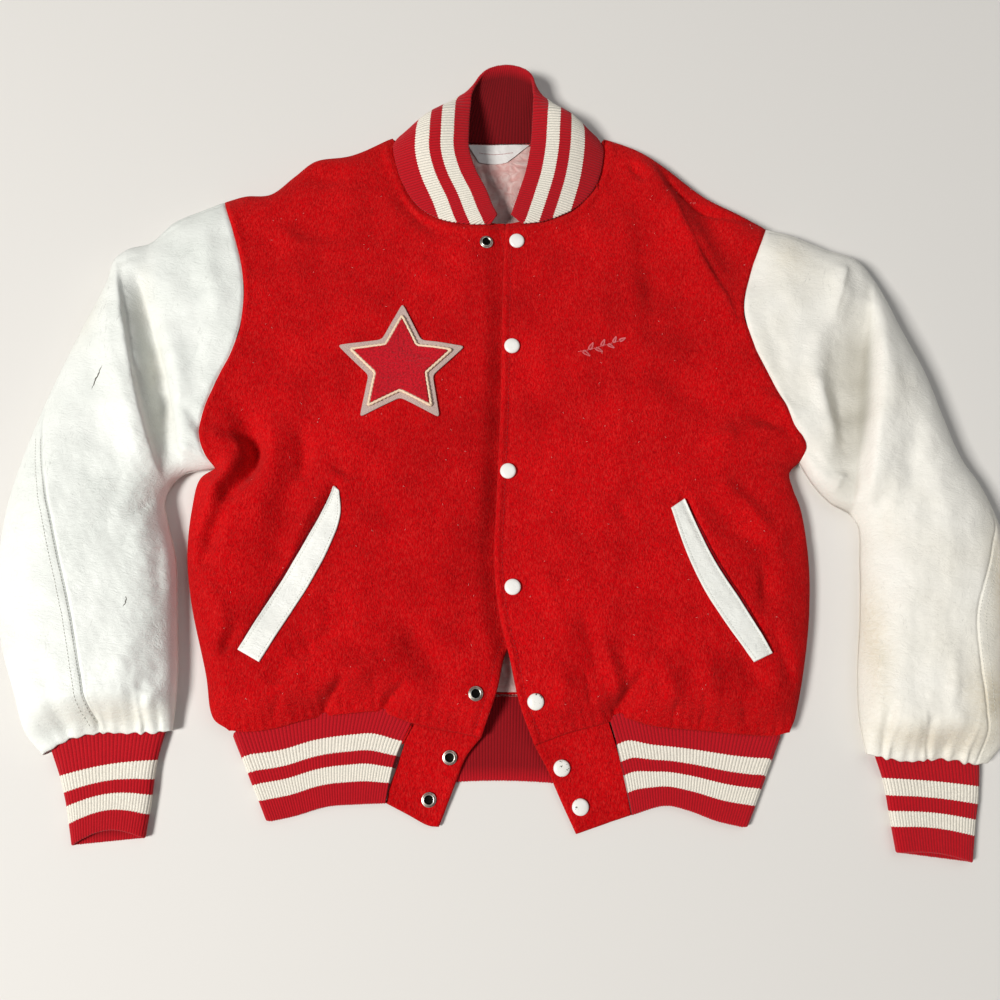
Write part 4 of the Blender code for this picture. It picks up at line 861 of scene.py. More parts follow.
def grid_cloth(
    name: str, points: Points, uv: Points, up: bool | None = None, wrap: Wrap = Wrap.OPEN,
    marks: dict[str, Points] | None = None,
) -> Object:
    """A piece of cloth over a grid of points, with its flat cut as UV in metres.

    Args:
        name: The piece's name.
        points: Rows and columns of places, in millimetres.
        uv: The place of each point in the flat cut, in millimetres.
        up: Whether the first columns look up or down. None leaves the grid's own side outside.
        wrap: Which ways the grid closes. Its last row or column then repeats the first.
        marks: Values for each point, kept as attributes of the mesh.

    Returns:
        The new object.
    """
    lead = max(2, points.shape[1] // 6)
    if up is not None and (grid_normals(points)[:, :lead, 2].sum() > 0) != up:
        points, uv = points[:, ::-1], uv[:, ::-1]
        marks = {key: value[:, ::-1] for key, value in (marks or {}).items()}
    rows, columns = points.shape[:2]
    bm = bmesh.new()
    bmesh.ops.create_grid(bm, x_segments=columns - 1, y_segments=rows - 1, size=1.0)
    obj = placed(name, bm)
    mesh = obj.data
    place = np.empty(rows * columns * 3)
    mesh.vertices.foreach_get("co", place)
    place = place.reshape(-1, 3)
    row = np.rint((1 - place[:, 1]) / 2 * (rows - 1)).astype(int)
    column = np.rint((place[:, 0] + 1) / 2 * (columns - 1)).astype(int)
    mesh.vertices.foreach_set("co", (points[row, column] * MM).ravel())
    corner = np.empty(len(mesh.loops), dtype=np.int32)
    mesh.loops.foreach_get("vertex_index", corner)
    layer = mesh.uv_layers.active or mesh.uv_layers.new(name="UVMap")
    layer.uv.foreach_set("vector", (uv[row, column][corner] * MM).ravel())
    for key, value in (marks or {}).items():
        mark = mesh.attributes.new(key, "FLOAT", "POINT")
        mark.data.foreach_set("value", value[row, column].ravel())
    if wrap is not Wrap.OPEN:
        bm = bmesh.new()
        bm.from_mesh(mesh)
        bmesh.ops.remove_doubles(bm, verts=bm.verts, dist=1e-6)
        if wrap is Wrap.CAPPED:
            bmesh.ops.holes_fill(bm, edges=[edge for edge in bm.edges if edge.is_boundary], sides=0)
        bm.to_mesh(mesh)
        bm.free()
    mesh.update()
    mesh.shade_smooth()
    return obj


class Surface:
    """The finished upper side of a piece, for what lies or is sewn on it."""

    def __init__(self, obj: Object) -> None:
        """Keeps a search tree of the piece's mesh."""
        bm = bmesh.new()
        bm.from_mesh(obj.data)
        self.tree = BVHTree.FromBMesh(bm)
        bm.free()

    def under(self, x: float, y: float) -> tuple[float, Vector] | None:
        """Height in millimetres and normal at a place, or None past the edge."""
        hit, normal, _, _ = self.tree.ray_cast(Vector((x * MM, y * MM, 1.0)), Vector((0, 0, -1)))
        return None if hit is None else (hit.z / MM, normal)

    def heights(self, plan: Points) -> Points:
        """Height of the piece at each place of a grid. Places past its edge take the nearest height."""
        found = np.full(plan.shape[:-1], np.nan)
        for index in np.ndindex(found.shape):
            hit = self.under(*plan[index])
            if hit is not None:
                found[index] = hit[0]
        known = np.argwhere(~np.isnan(found))
        for index in np.argwhere(np.isnan(found)):
            nearest = known[np.abs(known - index).sum(axis=1).argmin()]
            found[tuple(index)] = found[tuple(nearest)]
        return found


def flat_cut(points: Points) -> Points:
    """Places of a grid in its flat cut, by the distances along its rows and columns."""
    over = np.linalg.norm(np.diff(points, axis=1), axis=-1)
    down = np.linalg.norm(np.diff(points, axis=0), axis=-1)
    u = np.concatenate([np.zeros((len(points), 1)), np.cumsum(over, axis=1)], axis=1)
    v = np.concatenate([np.zeros((1, points.shape[1])), np.cumsum(down, axis=0)], axis=0)
    return np.stack([u, -v], axis=-1)


def walled_cloth(
    name: str, points: Points, wall: float, up: bool = True, wrap: Wrap = Wrap.OPEN,
    marks: dict[str, Points] | None = None, clamp: float = 0.0,
) -> tuple[Object, Surface]:
    """A piece of cloth with its thickness to the inside.

    Args:
        name: The piece's name.
        points: Rows and columns of places on its outer side, in millimetres.
        wall: Its thickness in millimetres.
        up: Whether its outer side looks up or down.
        wrap: Which ways the grid closes.
        marks: Values for each point, kept as attributes of the mesh.
        clamp: Thins it where its faces are smaller than this share of the wall, as along a sharp lip.

    Returns:
        The piece, and its outer side for what lies or is sewn on it.
    """
    obj = grid_cloth(name, points, flat_cut(points), up, wrap, marks)
    surface = Surface(obj)
    modifier = obj.modifiers.new("wall", "SOLIDIFY")
    modifier.thickness = wall * MM
    modifier.offset = -1
    modifier.use_even_offset = False
    modifier.thickness_clamp = clamp
    return obj, surface


@dataclass(frozen=True)
class Cut:
    """The flat cut of a sheet before it was sewn: its size and area in metres, and how it is held."""

    width: float
    length: float
    area: float | None = None
    held: Held = Held.LAID
    rests_on: tuple[str, ...] = ()


def finish_piece(
    obj: Object, finish: "Finish", nodes: Sequence[str] = (), cut: Cut | None = None,
) -> None:
    """Dresses a piece and sets it on the model.

    Args:
        obj: The piece, in its place.
        finish: What it is finished with.
        nodes: The CAD nodes that it stands for.
        cut: Its flat cut, if it is a sheet. It is not used.
    """
    obj.data.materials.clear()
    obj.data.materials.append(finish.material())
    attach(obj, "root")
    if nodes:
        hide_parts(*nodes)
    if cut:
        list(cut.rests_on)


# ---- finishes ----


def linear(colour: str) -> tuple[float, float, float, float]:
    """Turns an sRGB hex colour such as "#C01020" into the linear values that shaders use."""
    parts = [int(colour[place:place + 2], 16) / 255 for place in (1, 3, 5)]
    red, green, blue = [
        part / 12.92 if part <= 0.04045 else ((part + 0.055) / 1.055) ** 2.4 for part in parts]
    return red, green, blue, 1.0


def every(size_mm: float) -> float:
    """The scale of a pattern that comes once in so many millimetres."""
    return 1000 / size_mm


def feed(tree: NodeTree, node: Node, inputs: dict) -> None:
    """Gives a node's inputs their values, hex colours or links, by name or number."""
    for key, value in inputs.items():
        if isinstance(value, NodeSocket):
            tree.links.new(value, node.inputs[key])
        else:
            node.inputs[key].default_value = linear(value) if isinstance(value, str) else value


def add_node(
    tree: NodeTree, kind: str, inputs: dict | Sequence = (), out: int | str = 0, stops: Sequence[tuple] = (),
    **settings: object,
) -> NodeSocket:
    """Adds a shader node, sets it and links it.

    Args:
        tree: The material's nodes.
        kind: The node's type, without its ShaderNode prefix.
        inputs: A value, hex colour or link for each input, by name or in their order.
        out: Which of its outputs is wanted.
        stops: Position and colour or grey value of each stop of a colour ramp.
        settings: The node's own options.

    Returns:
        That output.
    """
    node = tree.nodes.new("ShaderNode" + kind)
    for key, value in settings.items():
        setattr(node, key, value)
    feed(tree, node, inputs if isinstance(inputs, dict) else dict(enumerate(inputs)))
    for number, (position, value) in enumerate(stops):
        elements = node.color_ramp.elements
        element = elements[number] if number < 2 else elements.new(position)
        element.position = position
        element.color = linear(value) if isinstance(value, str) else (value, value, value, 1.0)
    return node.outputs[out]


@dataclass(frozen=True)
class Finish:
    """A finish: the name of its material, its main colour and how rough it is."""

    name: str
    colour: str
    roughness: float = 0.6

    def material(self) -> Material:
        """The finish's material, made the first time that it is asked for."""
        found = bpy.data.materials.get(self.name)
        if found:
            return found
        made = bpy.data.materials.new(self.name)
        made.use_nodes = True
        made.diffuse_color = linear(self.colour)
        shader = made.node_tree.nodes["Principled BSDF"]
        feed(made.node_tree, shader, {"Base Color": self.colour, "Roughness": self.roughness})
        feed(made.node_tree, shader, self.weave(partial(add_node, made.node_tree)))
        return made

    def weave(self, add: Adder) -> dict:
        """The shader's inputs that make this finish more than one flat colour, here none."""
        return {}


@dataclass(frozen=True)
class MeltonWool(Finish):
    """Melton: woven wool, fulled and napped, so that short fibres hide the weave and scatter the light.

    The nap leans one way in fine flecks, and paler loose fibres lie over it. A fibre is 0.02 mm thick and
    too fine to show, so flecks of many fibres are drawn, as coarse as they need to be.
    """

    deep: str = "#A0030B"
    fibre: str = "#E02E2A"
    fleck_mm: float = 1.2
    drift_mm: float = 7.0
    worn_mm: float = 60.0

    def weave(self, add: Adder) -> dict:
        """Flecks, loose fibres and the nap's relief."""
        place = add("TexCoord", out="Object")
        drift = add("TexNoise", {"Vector": place, "Scale": every(self.drift_mm), "Detail": 2.0}, "Color")
        bent = add("VectorMath", (drift, (0.004, 0.004, 0.004), place), operation="MULTIPLY_ADD")
        lying = add("Mapping", {"Vector": bent, "Rotation": (0.0, 0.0, 0.75), "Scale": (1.0, 0.55, 1.0)})
        flecks = add("TexNoise", {
            "Vector": lying, "Scale": every(self.fleck_mm), "Detail": 4.0, "Roughness": 0.62})
        crossing = add("Mapping", {"Vector": bent, "Rotation": (0.0, 0.0, -0.5), "Scale": (1.0, 0.2, 1.0)})
        fibres = add("TexNoise", {
            "Vector": crossing, "Scale": 1.3 * every(self.fleck_mm), "Detail": 3.0, "Roughness": 0.6})
        worn = add("TexNoise", {"Vector": place, "Scale": every(self.worn_mm), "Detail": 4.0})
        shade = add("ValToRGB", (flecks,), stops=((0.33, self.deep), (0.55, self.colour)))
        pale = add("ValToRGB", (fibres,), stops=((0.47, 0.0), (0.68, 0.7)))
        napped = add("MixRGB", (pale, shade, self.fibre))
        soiled = add("ValToRGB", (worn,), stops=((0.34, 0.8), (0.64, 1.0)))
        relief = add("Math", (fibres, 0.45, flecks), operation="MULTIPLY_ADD")
        return {
            "Base Color": add("MixRGB", (1.0, napped, soiled), blend_type="MULTIPLY"),
            "Normal": add("Bump", {"Height": relief, "Strength": 0.85, "Distance": 0.0015}),
            "Specular IOR Level": 0.06, "Sheen Weight": 0.06, "Sheen Roughness": 0.5,
            "Sheen Tint": (1.0, 0.4, 0.35, 1.0),
        }


@dataclass(frozen=True)
class PaintedCowhide(Finish):
    """Cowhide split with a painted, lightly embossed face, worn soft.

    Its paint is smooth and a little glossy. A fine hairline grain runs across it, with long faint
    wrinkles. It is scuffed grey where it rubs, and yellows in patches. Real grain is 0.5 mm wide, too fine
    to show, and is drawn about four times as coarse. The hollows beside the sleeves' stepped bends get a
    painted shade of grey-beige, and the yellowed patches in the right sleeve's hollow are painted shade too.
    """

    dirt: str = "#85857E"
    # grey-beige of the painted shade in the hollows beside the stepped bends
    soiled: str = "#A19C8E"
    yellowed: str = "#CDBB94"
    tint: str = "#D9D5C6"
    grain_mm: float = 2.2
    wrinkle_mm: float = 10.0
    scuff_mm: float = 3.4
    drift_mm: float = 26.0
    patch_mm: float = 75.0

    def weave(self, add: Adder) -> dict:
        """Grain, wrinkles, scuffs, yellowed patches, and painted shade in the hollows of the bends."""
        place = add("TexCoord", out="Object")
        drift = add("TexNoise", {"Vector": place, "Scale": every(self.drift_mm), "Detail": 3.0}, "Color")
        bent = add("VectorMath", (drift, (0.02, 0.02, 0.02), place), operation="MULTIPLY_ADD")
        across = add("Mapping", {"Vector": bent, "Rotation": (0.0, 0.0, 0.12), "Scale": (0.3, 1.0, 1.0)})
        grain = add("TexNoise", {
            "Vector": across, "Scale": every(self.grain_mm), "Detail": 5.0, "Roughness": 0.68})
        flow = add("TexNoise", {
            "Vector": across, "Scale": every(self.wrinkle_mm), "Detail": 4.0, "Distortion": 0.6})
        off = add("Math", (flow, 0.5), operation="SUBTRACT")
        away = add("Math", (off,), operation="ABSOLUTE")
        wrinkle = add("ValToRGB", (away,), stops=((0.0, 1.0), (0.014, 0.0)))
        patches = add("TexNoise", {"Vector": place, "Scale": every(self.patch_mm), "Detail": 4.0})
        mottle = add("ValToRGB", (patches,), stops=((0.42, 0.0), (0.72, 0.65)))
        where = add("ValToRGB", (patches,), stops=((0.5, 0.0), (0.68, 1.0)))
        lined = add("Math", (wrinkle, where), operation="MULTIPLY")
        tone = add("MixRGB", (mottle, self.colour, self.tint))
        stain, soil, wear = [
            add("Attribute", out="Fac", attribute_name=name) for name in ("stain", "soil", "wear")]
        # yellowed patches, and painted shade where they lie in the right sleeve's hollow
        aged_and_shaded = add("MixRGB", (add("Math", (stain, grain), operation="MULTIPLY"), tone, self.yellowed))
        # painted shade: each hollow beside a stepped bend is mixed towards grey-beige by its depth
        folded = add("MixRGB", (add("Math", (soil, 0.8), operation="MULTIPLY"), aged_and_shaded, self.soiled))
        rubbed = add("Mapping", {"Vector": bent, "Rotation": (0.0, 0.0, 0.6), "Scale": (1.0, 0.14, 1.0)})
        scuffs = add("TexNoise", {
            "Vector": rubbed, "Scale": every(self.scuff_mm), "Detail": 6.0, "Roughness": 0.78})
        marks = add("ValToRGB", (scuffs,), stops=((0.58, 0.0), (0.72, 1.0)))
        rubs = add("Math", (marks, wear), operation="MULTIPLY")
        dirt = add("Math", (lined, 0.07, rubs), operation="MULTIPLY_ADD", use_clamp=True)
        sunk = add("Math", (lined, -0.22, grain), operation="MULTIPLY_ADD")
        return {
            "Base Color": add("MixRGB", (dirt, folded, self.dirt)),
            "Roughness": add("MapRange", (grain, 0.0, 1.0, self.roughness - 0.1, self.roughness + 0.16)),
            "Normal": add("Bump", {"Height": sunk, "Strength": 0.8, "Distance": 0.0009}),
            "Specular IOR Level": 0.4,
        }


@dataclass(frozen=True)
class RibKnit(Finish):
    """Acrylic rib knitted double: raised wales of small V stitches with deep valleys between them.

    Its colour changes from course to course of knitting, so a stripe's edge is toothed by the wales. The
    wales are as wide as real ones; the fuzz of the yarn is drawn coarser than real, so that it shows.
    """

    stripe: str = "#F7F0E1"
    stripes_mm: tuple[tuple[float, float], ...] = ()
    pitch_mm: float = 2.75
    course_mm: float = 1.25
    height_mm: float = 120.0
    # how dark the painted shade on the inner face is
    inner_shade: float = 0.62
    tooth_mm: float = 0.8
    fuzz_mm: float = 0.9

    def weave(self, add: Adder) -> dict:
        """Stripes, wales and stitches, by the flat cut. The inner face and the valleys between the wales are
        darkened as painted shade.
        """
        place = add("TexCoord").node.outputs
        across, along = add("SeparateXYZ", (place["UV"],)).node.outputs[:2]
        wale = add("Math", (across, every(self.pitch_mm)), operation="MULTIPLY")
        phase = add("Math", (wale,), operation="FRACT")
        middle = add("Math", (phase, 0.5), operation="SUBTRACT")
        away = add("Math", (middle,), operation="ABSOLUTE")
        fuzz = add("TexNoise", {"Vector": place["Object"], "Scale": every(self.fuzz_mm), "Detail": 3.0})
        toothed = add("Math", (away, 0.0016, along), operation="MULTIPLY_ADD")
        loose = add("Math", (fuzz, 0.0009, toothed), operation="MULTIPLY_ADD")
        share = add("Math", (loose, every(self.height_mm)), operation="MULTIPLY")
        bands = [(0.0, self.colour)]
        for stripe in self.stripes_mm:
            starts = [(end + self.tooth_mm) / self.height_mm for end in stripe]
            bands += zip(starts, (self.stripe, self.colour))
        ramp = add("ValToRGB", (share,), stops=bands)
        ramp.node.color_ramp.interpolation = "CONSTANT"
        stitch = add("Math", (toothed, 2 * math.pi * every(self.course_mm)), operation="MULTIPLY")
        loops = add("Math", (stitch,), operation="SINE")
        # painted shade: the valleys between the wales are darkened to half
        valley = add("ValToRGB", (away,), stops=((0.3, 1.0), (0.5, 0.5)))
        yarn = add("MapRange", (fuzz, 0.3, 0.7, 0.78, 1.06))
        # painted shade: the inner face, inside the collar and the cuff mouths, is darkened down to
        # inner_shade
        inner_face_shade = add("MapRange", (along, -0.014, -0.003, self.inner_shade, 1.0))
        lit = add("Math", (valley, inner_face_shade), operation="MULTIPLY")
        shade = add("Math", (lit, yarn), operation="MULTIPLY")
        knit = add("Math", (loops, 0.3, fuzz), operation="MULTIPLY_ADD")
        return {
            "Base Color": add("MixRGB", (1.0, ramp, shade), blend_type="MULTIPLY"),
            "Normal": add("Bump", {"Height": knit, "Strength": 0.7, "Distance": 0.0004}),
            "Specular IOR Level": 0.15, "Sheen Weight": 0.15,
        }


@dataclass(frozen=True)
class WovenSatin(Finish):
    """Acetate satin: long floats of bright yarn lie side by side, so it shines softly along its folds.

    The yarn is 0.1 mm thick and is drawn more than three times as coarse, so that it shows.
    """

    crush_pale: str = "#EBD9D2"
    yarn_mm: float = 0.35
    creased_mm: float = 11.0

    def weave(self, add: Adder) -> dict:
        """Floats, soft crushed creases, and a paler colour where the crushed relief stands high."""
        place = add("TexCoord", out="Object")
        floats = add("TexWave", {
            "Vector": place, "Scale": every(self.yarn_mm) / 6.283, "Distortion": 1.5, "Detail": 1.0,
        }, "Fac", bands_direction="Y")
        crush = add("TexNoise", {
            "Vector": place, "Scale": every(self.creased_mm), "Detail": 4.0, "Distortion": 1.2})
        # paler where the crush pattern, which also raises the relief, is high
        cast = add("ValToRGB", (crush,), stops=((0.38, 0.0), (0.66, 0.6)))
        relief = add("Math", (floats, 0.05, crush), operation="MULTIPLY_ADD")
        return {
            "Base Color": add("MixRGB", (cast, self.colour, self.crush_pale)),
            "Normal": add("Bump", {"Height": relief, "Strength": 0.8, "Distance": 0.0022}),
            "Sheen Weight": 0.12,
        }


@dataclass(frozen=True)
class FibrePad(Finish):
    """Pressed or tufted fibre, such as felt or chenille: matt, with a fine relief of tufts.

    Pressed wool felt has a small tuft, and looped rayon chenille a larger one. The gaps between the tufts are
    painted darker, as painted shade.
    """

    # colour of the painted shade between tufts
    gap: str = "#8C0714"
    tuft_mm: float = 1.6
    relief_mm: float = 0.8

    def weave(self, add: Adder) -> dict:
        """Tufts, and painted shade in the gaps between them."""
        place = add("TexCoord", out="Object")
        tufts = add("TexVoronoi", {"Vector": place, "Scale": every(self.tuft_mm)})
        fluff = add("TexNoise", {"Vector": place, "Scale": 2.2 * every(self.tuft_mm), "Detail": 4.0})
        # painted shade: the further from a tuft's middle, the nearer the colour comes to the gap colour
        depth = add("ValToRGB", (tufts,), stops=((0.35, 0.0), (0.85, 0.6)))
        tone = add("MixRGB", (depth, self.colour, self.gap))
        light = add("MapRange", (fluff, 0.3, 0.7, 0.8, 1.1))
        relief = add("Math", (tufts, -1.0, fluff), operation="MULTIPLY_ADD")
        return {
            "Base Color": add("MixRGB", (1.0, tone, light), blend_type="MULTIPLY"),
            "Normal": add("Bump", {"Height": relief, "Strength": 0.9, "Distance": self.relief_mm * MM}),
            "Specular IOR Level": 0.1, "Sheen Weight": 0.25, "Sheen Roughness": 0.5,
        }


@dataclass(frozen=True)
class SpunThread(Finish):
    """Spun polyester or cotton: fine plied yarn with a soft shine along its turns.

    Its plies are 0.2 mm thick and are drawn coarser, so that they show.
    """

    worn: str = "#9A9488"
    ply_mm: float = 0.5

    def weave(self, add: Adder) -> dict:
        """The turns of the ply and a little dirt."""
        place = add("TexCoord", out="Object")
        plies = add("TexNoise", {"Vector": place, "Scale": every(self.ply_mm), "Detail": 2.0})
        dirt = add("ValToRGB", (plies,), stops=((0.45, 0.0), (0.8, 0.5)))
        return {
            "Base Color": add("MixRGB", (dirt, self.colour, self.worn)),
            "Normal": add("Bump", {"Height": plies, "Strength": 0.6, "Distance": 0.0002}),
        }


@dataclass(frozen=True)
class FiredEnamel(Finish):
    """Brass with a thick glossy enamel: smooth and bright, chipped to dark metal where it has knocked."""

    chipped: str = "#4A4238"
    chips: float = 0.0
    chip_mm: float = 5.0

    def weave(self, add: Adder) -> dict:
        """Chips and the faint unevenness of the glaze."""
        place = add("TexCoord", out="Object")
        flow = add("TexNoise", {
            "Vector": place, "Scale": every(self.chip_mm), "Detail": 5.0, "Roughness": 0.7})
        edge = 0.74 - 0.13 * self.chips
        chip = add("ValToRGB", (flow,), stops=((edge, 0.0), (edge + 0.02, min(1.0, self.chips * 2))))
        return {
            "Base Color": add("MixRGB", (chip, self.colour, self.chipped)),
            "Normal": add("Bump", {"Height": flow, "Strength": 0.25, "Distance": 0.0004}),
            "Coat Weight": 0.6, "Coat Roughness": 0.12,
        }


@dataclass(frozen=True)
class PlatedMetal(Finish):
    """Nickel plate over brass, dulled by handling: a soft grey shine with fine scratches."""

    tarnish: str = "#8F897C"
    spot_mm: float = 2.5

    def weave(self, add: Adder) -> dict:
        """Tarnish and scratches."""
        place = add("TexCoord", out="Object")
        dull = add("TexNoise", {"Vector": place, "Scale": every(self.spot_mm), "Detail": 5.0})
        spots = add("ValToRGB", (dull,), stops=((0.42, 0.0), (0.68, 0.8)))
        return {
            "Base Color": add("MixRGB", (spots, self.colour, self.tarnish)),
            "Roughness": add("MapRange", (dull, 0.0, 1.0, self.roughness - 0.08, self.roughness + 0.2)),
            "Metallic": 1.0,
        }


MELTON = MeltonWool("melton_wool_napped_red", "#D1040C", 0.95)
# The wool lip in each pocket slit; its darker red is painted shade of the slit.
MELTON_WELT = MeltonWool("melton_wool_red_painted_slit_shade", "#8E0912", 0.95, deep="#5E050B", fibre="#B8242A")
# Both sleeves are one white leather; the cool tint of the right and the warm tint of the left are painted
# light, the cool and warm light falling on each side.
LEATHER = {
    Side.RIGHT: PaintedCowhide("cowhide_painted_creased_white_cool_light", "#ECEEE8", 0.46, tint="#DDE1DA"),
    Side.LEFT: PaintedCowhide("cowhide_painted_creased_white_warm_light", "#EFECE3", 0.46, tint="#E2DDCF"),
}
WELT_LEATHER = PaintedCowhide("cowhide_painted_pocket_welt", "#F3F4EF", 0.45, tint="#E6E7E0")
RIB_COLLAR = RibKnit("acrylic_rib_knit_collar_striped", "#BE0D1C", 0.9,
                     stripes_mm=((16.5, 29.5), (41.0, 56.0)), height_mm=100.0, inner_shade=0.4)
RIB_WAIST = RibKnit("acrylic_rib_knit_waistband_striped", "#BE0D1C", 0.9,
                    stripes_mm=((17.8, 31.2), (42.3, 55.8)), height_mm=120.0)
RIB_CUFF = {
    Side.RIGHT: RibKnit("acrylic_rib_knit_cuff_right_striped", "#BE0D1C", 0.9,
                        stripes_mm=((18.2, 33.2), (45.6, 60.2)), height_mm=120.0, inner_shade=0.35),
    Side.LEFT: RibKnit("acrylic_rib_knit_cuff_left_striped", "#BE0D1C", 0.9,
                       stripes_mm=((21.3, 34.7), (47.9, 62.1)), height_mm=120.0, inner_shade=0.35),
}
LINING_SATIN = WovenSatin("acetate_satin_woven_pink", "#D6A29B", 0.38)
LABEL_SATIN = WovenSatin("polyester_satin_woven_white", "#E8E4E0", 0.4, crush_pale="#F4F2EE", creased_mm=20.0)
PATCH_FELT = FibrePad(
    "wool_felt_pressed_grey_pink", "#CDB4AB", 0.95, gap="#A88E86", tuft_mm=0.9, relief_mm=0.35)
CHENILLE = FibrePad("rayon_chenille_looped_crimson", "#CE0F22", 0.95, tuft_mm=1.7, relief_mm=0.6)
PATCH_CORD = SpunThread("cotton_cord_twisted_cream", "#EFD6B8", 0.8, worn="#C9A88A")
WOOL_THREAD = SpunThread("polyester_thread_spun_red", "#A30A14", 0.7, worn="#7A060E")
LEATHER_THREAD = SpunThread("polyester_thread_spun_white", "#DDDCD2", 0.7, worn="#A9A79B")
SPRIG_THREAD = SpunThread("rayon_thread_satin_stitched_pink", "#E2777A", 0.45, worn="#D05A60")
ENAMEL = FiredEnamel("brass_enamelled_white", "#F1EFE9", 0.22, chips=0.4)
ENAMEL_CHIPPED = FiredEnamel("brass_enamelled_white_chipped", "#EDEBE4", 0.26, chips=1.0)
NICKEL = PlatedMetal("brass_nickel_plated", "#CFCBC0", 0.3)
# a near-black disc in each socket's well: painted shade of its hole
SOCKET_WELL_SHADE = PlatedMetal("painted_shade_socket_well", "#1B1815", 0.5, tarnish="#0E0C0A")
COTTON_LINT = SpunThread("cotton_lint_loose_pale", "#E6CFC6", 0.8, worn="#C99A92")
CRACK = Finish("cowhide_bare_split_in_crack", "#5B574E", 0.9)


# ---- shared making ----


def raised(plan: Points, heights: Points) -> Points:
    """Places in space from a plan and the heights over it."""
    return np.concatenate([plan, heights[..., None]], axis=-1)


def pulled_down(gap: Points, drop: float, width: float) -> Points:
    """How far an edge rolls down, from its rim to a width inside it."""
    return drop * (1 - rounded(np.abs(gap), width))


@dataclass(frozen=True)
class RibCloth:
    """Doubled rib knit: how thick it is, and how its wales stand. Sizes in millimetres."""

    wall: float = 2.6
    pitch: float = 2.75
    rise: float = 0.55
    columns_a_rib: int = 5
    fold_steps: int = 4

    def doubled(self, outer: Points, closed: bool) -> tuple[Points, Points]:
        """Closes an outer side over its folded foot, its inner side and its seamed head.

        Args:
            outer: Rows and columns of the outer side. Its last row is the folded one.
            closed: Whether its columns run all round a tube.

        Returns:
            The whole wrap of points, and how far each row lies from the fold, below 0 inside.
        """
        ring = outer
        if closed:
            ring = np.concatenate([outer[:, -3:-1], outer, outer[:, 1:3]], axis=1)
        normals = grid_normals(ring)
        down = unit(np.gradient(ring, axis=0))
        if closed:
            normals, down = normals[:, 2:-2], down[:, 2:-2]
        radius = self.wall / 2
        turns = np.linspace(0, math.pi, self.fold_steps + 2)[1:-1]
        foot = [outer[-1] + radius * ((math.cos(turn) - 1) * normals[-1] + math.sin(turn) * down[-1])
                for turn in turns]
        head = [outer[0] - radius * ((math.cos(turn) + 1) * normals[0] + math.sin(turn) * down[0])
                for turn in turns]
        inner = (outer - normals * self.wall)[::-1]
        points = np.concatenate([outer, foot, inner, head, outer[:1]])
        steps = np.linalg.norm(np.diff(outer, axis=0), axis=-1).mean(axis=1)
        away = np.concatenate([np.cumsum(steps[::-1])[::-1], [0.0]]) + radius
        bend = radius * np.cos(turns)
        rows = np.concatenate([away, bend, -away[::-1], np.full(len(turns), away[0]), away[:1]])
        return points, rows

    def ribbed(self, points: Points, closed: bool) -> Points:
        """Raises the wales of a doubled wrap.

        Args:
            points: The wrap of points, with a whole number of ribs across.
            closed: Whether its columns run all round a tube.

        Returns:
            The same points, raised along their normals.
        """
        ring = np.concatenate([points[-3:-1], points, points[1:3]], axis=0)
        if closed:
            ring = np.concatenate([ring[:, -3:-1], ring, ring[:, 1:3]], axis=1)
        normals = grid_normals(ring)[2:-2]
        if closed:
            normals = normals[:, 2:-2]
        phase = np.arange(points.shape[1]) / self.columns_a_rib
        wale = np.abs(np.sin(math.pi * phase)) ** 0.7
        lean = 1 + 0.18 * np.sin(np.arange(points.shape[0]) * 0.9)[:, None] * np.sin(phase * 1.7)[None]
        raised_points = points + normals * ((wale[None] * lean - 0.5) * self.rise)[..., None]
        raised_points[-1] = raised_points[0]
        if closed:
            raised_points[:, -1] = raised_points[:, 0]
        return raised_points

    def ribs(self, length: float) -> int:
        """How many ribs a length takes."""
        return max(4, round(length / self.pitch))

    def away_from_fold(self, points: Points, rows: Points) -> Points:
        """How far each point lies from the fold along its own rib, below 0 on the inner side."""
        outer = int(np.argmin(np.abs(rows)))
        down = np.linalg.norm(np.diff(points, axis=0), axis=-1)
        run = np.concatenate([np.zeros((1, points.shape[1])), np.cumsum(down, axis=0)])
        away = run[outer] - run
        away[-1 - self.fold_steps // 2:] = away[0]
        return away

    def knit(
        self, node: str, outer: Points, finish: RibKnit, cut: Cut, closed: bool = False,
        flared: bool = False,
    ) -> None:
        """Makes and dresses a piece of doubled rib.

        Args:
            node: What it dresses, which names it too.
            outer: Rows and columns of its outer side. The last row is the folded one.
            finish: Its knit.
            cut: Its flat cut.
            closed: Whether its columns run all round a tube.
            flared: Whether its ribs differ in length.
        """
        points, rows = self.doubled(outer, closed)
        away = self.away_from_fold(points, rows) if flared else rows[:, None]
        if closed:
            points[:, -1] = points[:, 0]
        points = self.ribbed(points, closed)
        across = np.arange(points.shape[1]) / self.columns_a_rib * self.pitch
        uv = np.stack(np.broadcast_arrays(across, away), axis=-1)
        obj = grid_cloth("rib_" + node, points, uv, wrap=Wrap.WELDED if closed else Wrap.CAPPED)
        finish_piece(obj, finish, [node], cut)


def evened(lines: Sequence[Points], count: int) -> list[Points]:
    """Matching lines, each sampled anew at even steps along their mean."""
    mean = Course(np.mean(lines, axis=0))
    at = np.interp(np.linspace(0, 1, count), mean.shares(), np.arange(len(mean.line)))
    order = np.arange(len(mean.line))
    return [np.stack([np.interp(at, order, values) for values in line.T], axis=-1) for line in lines]


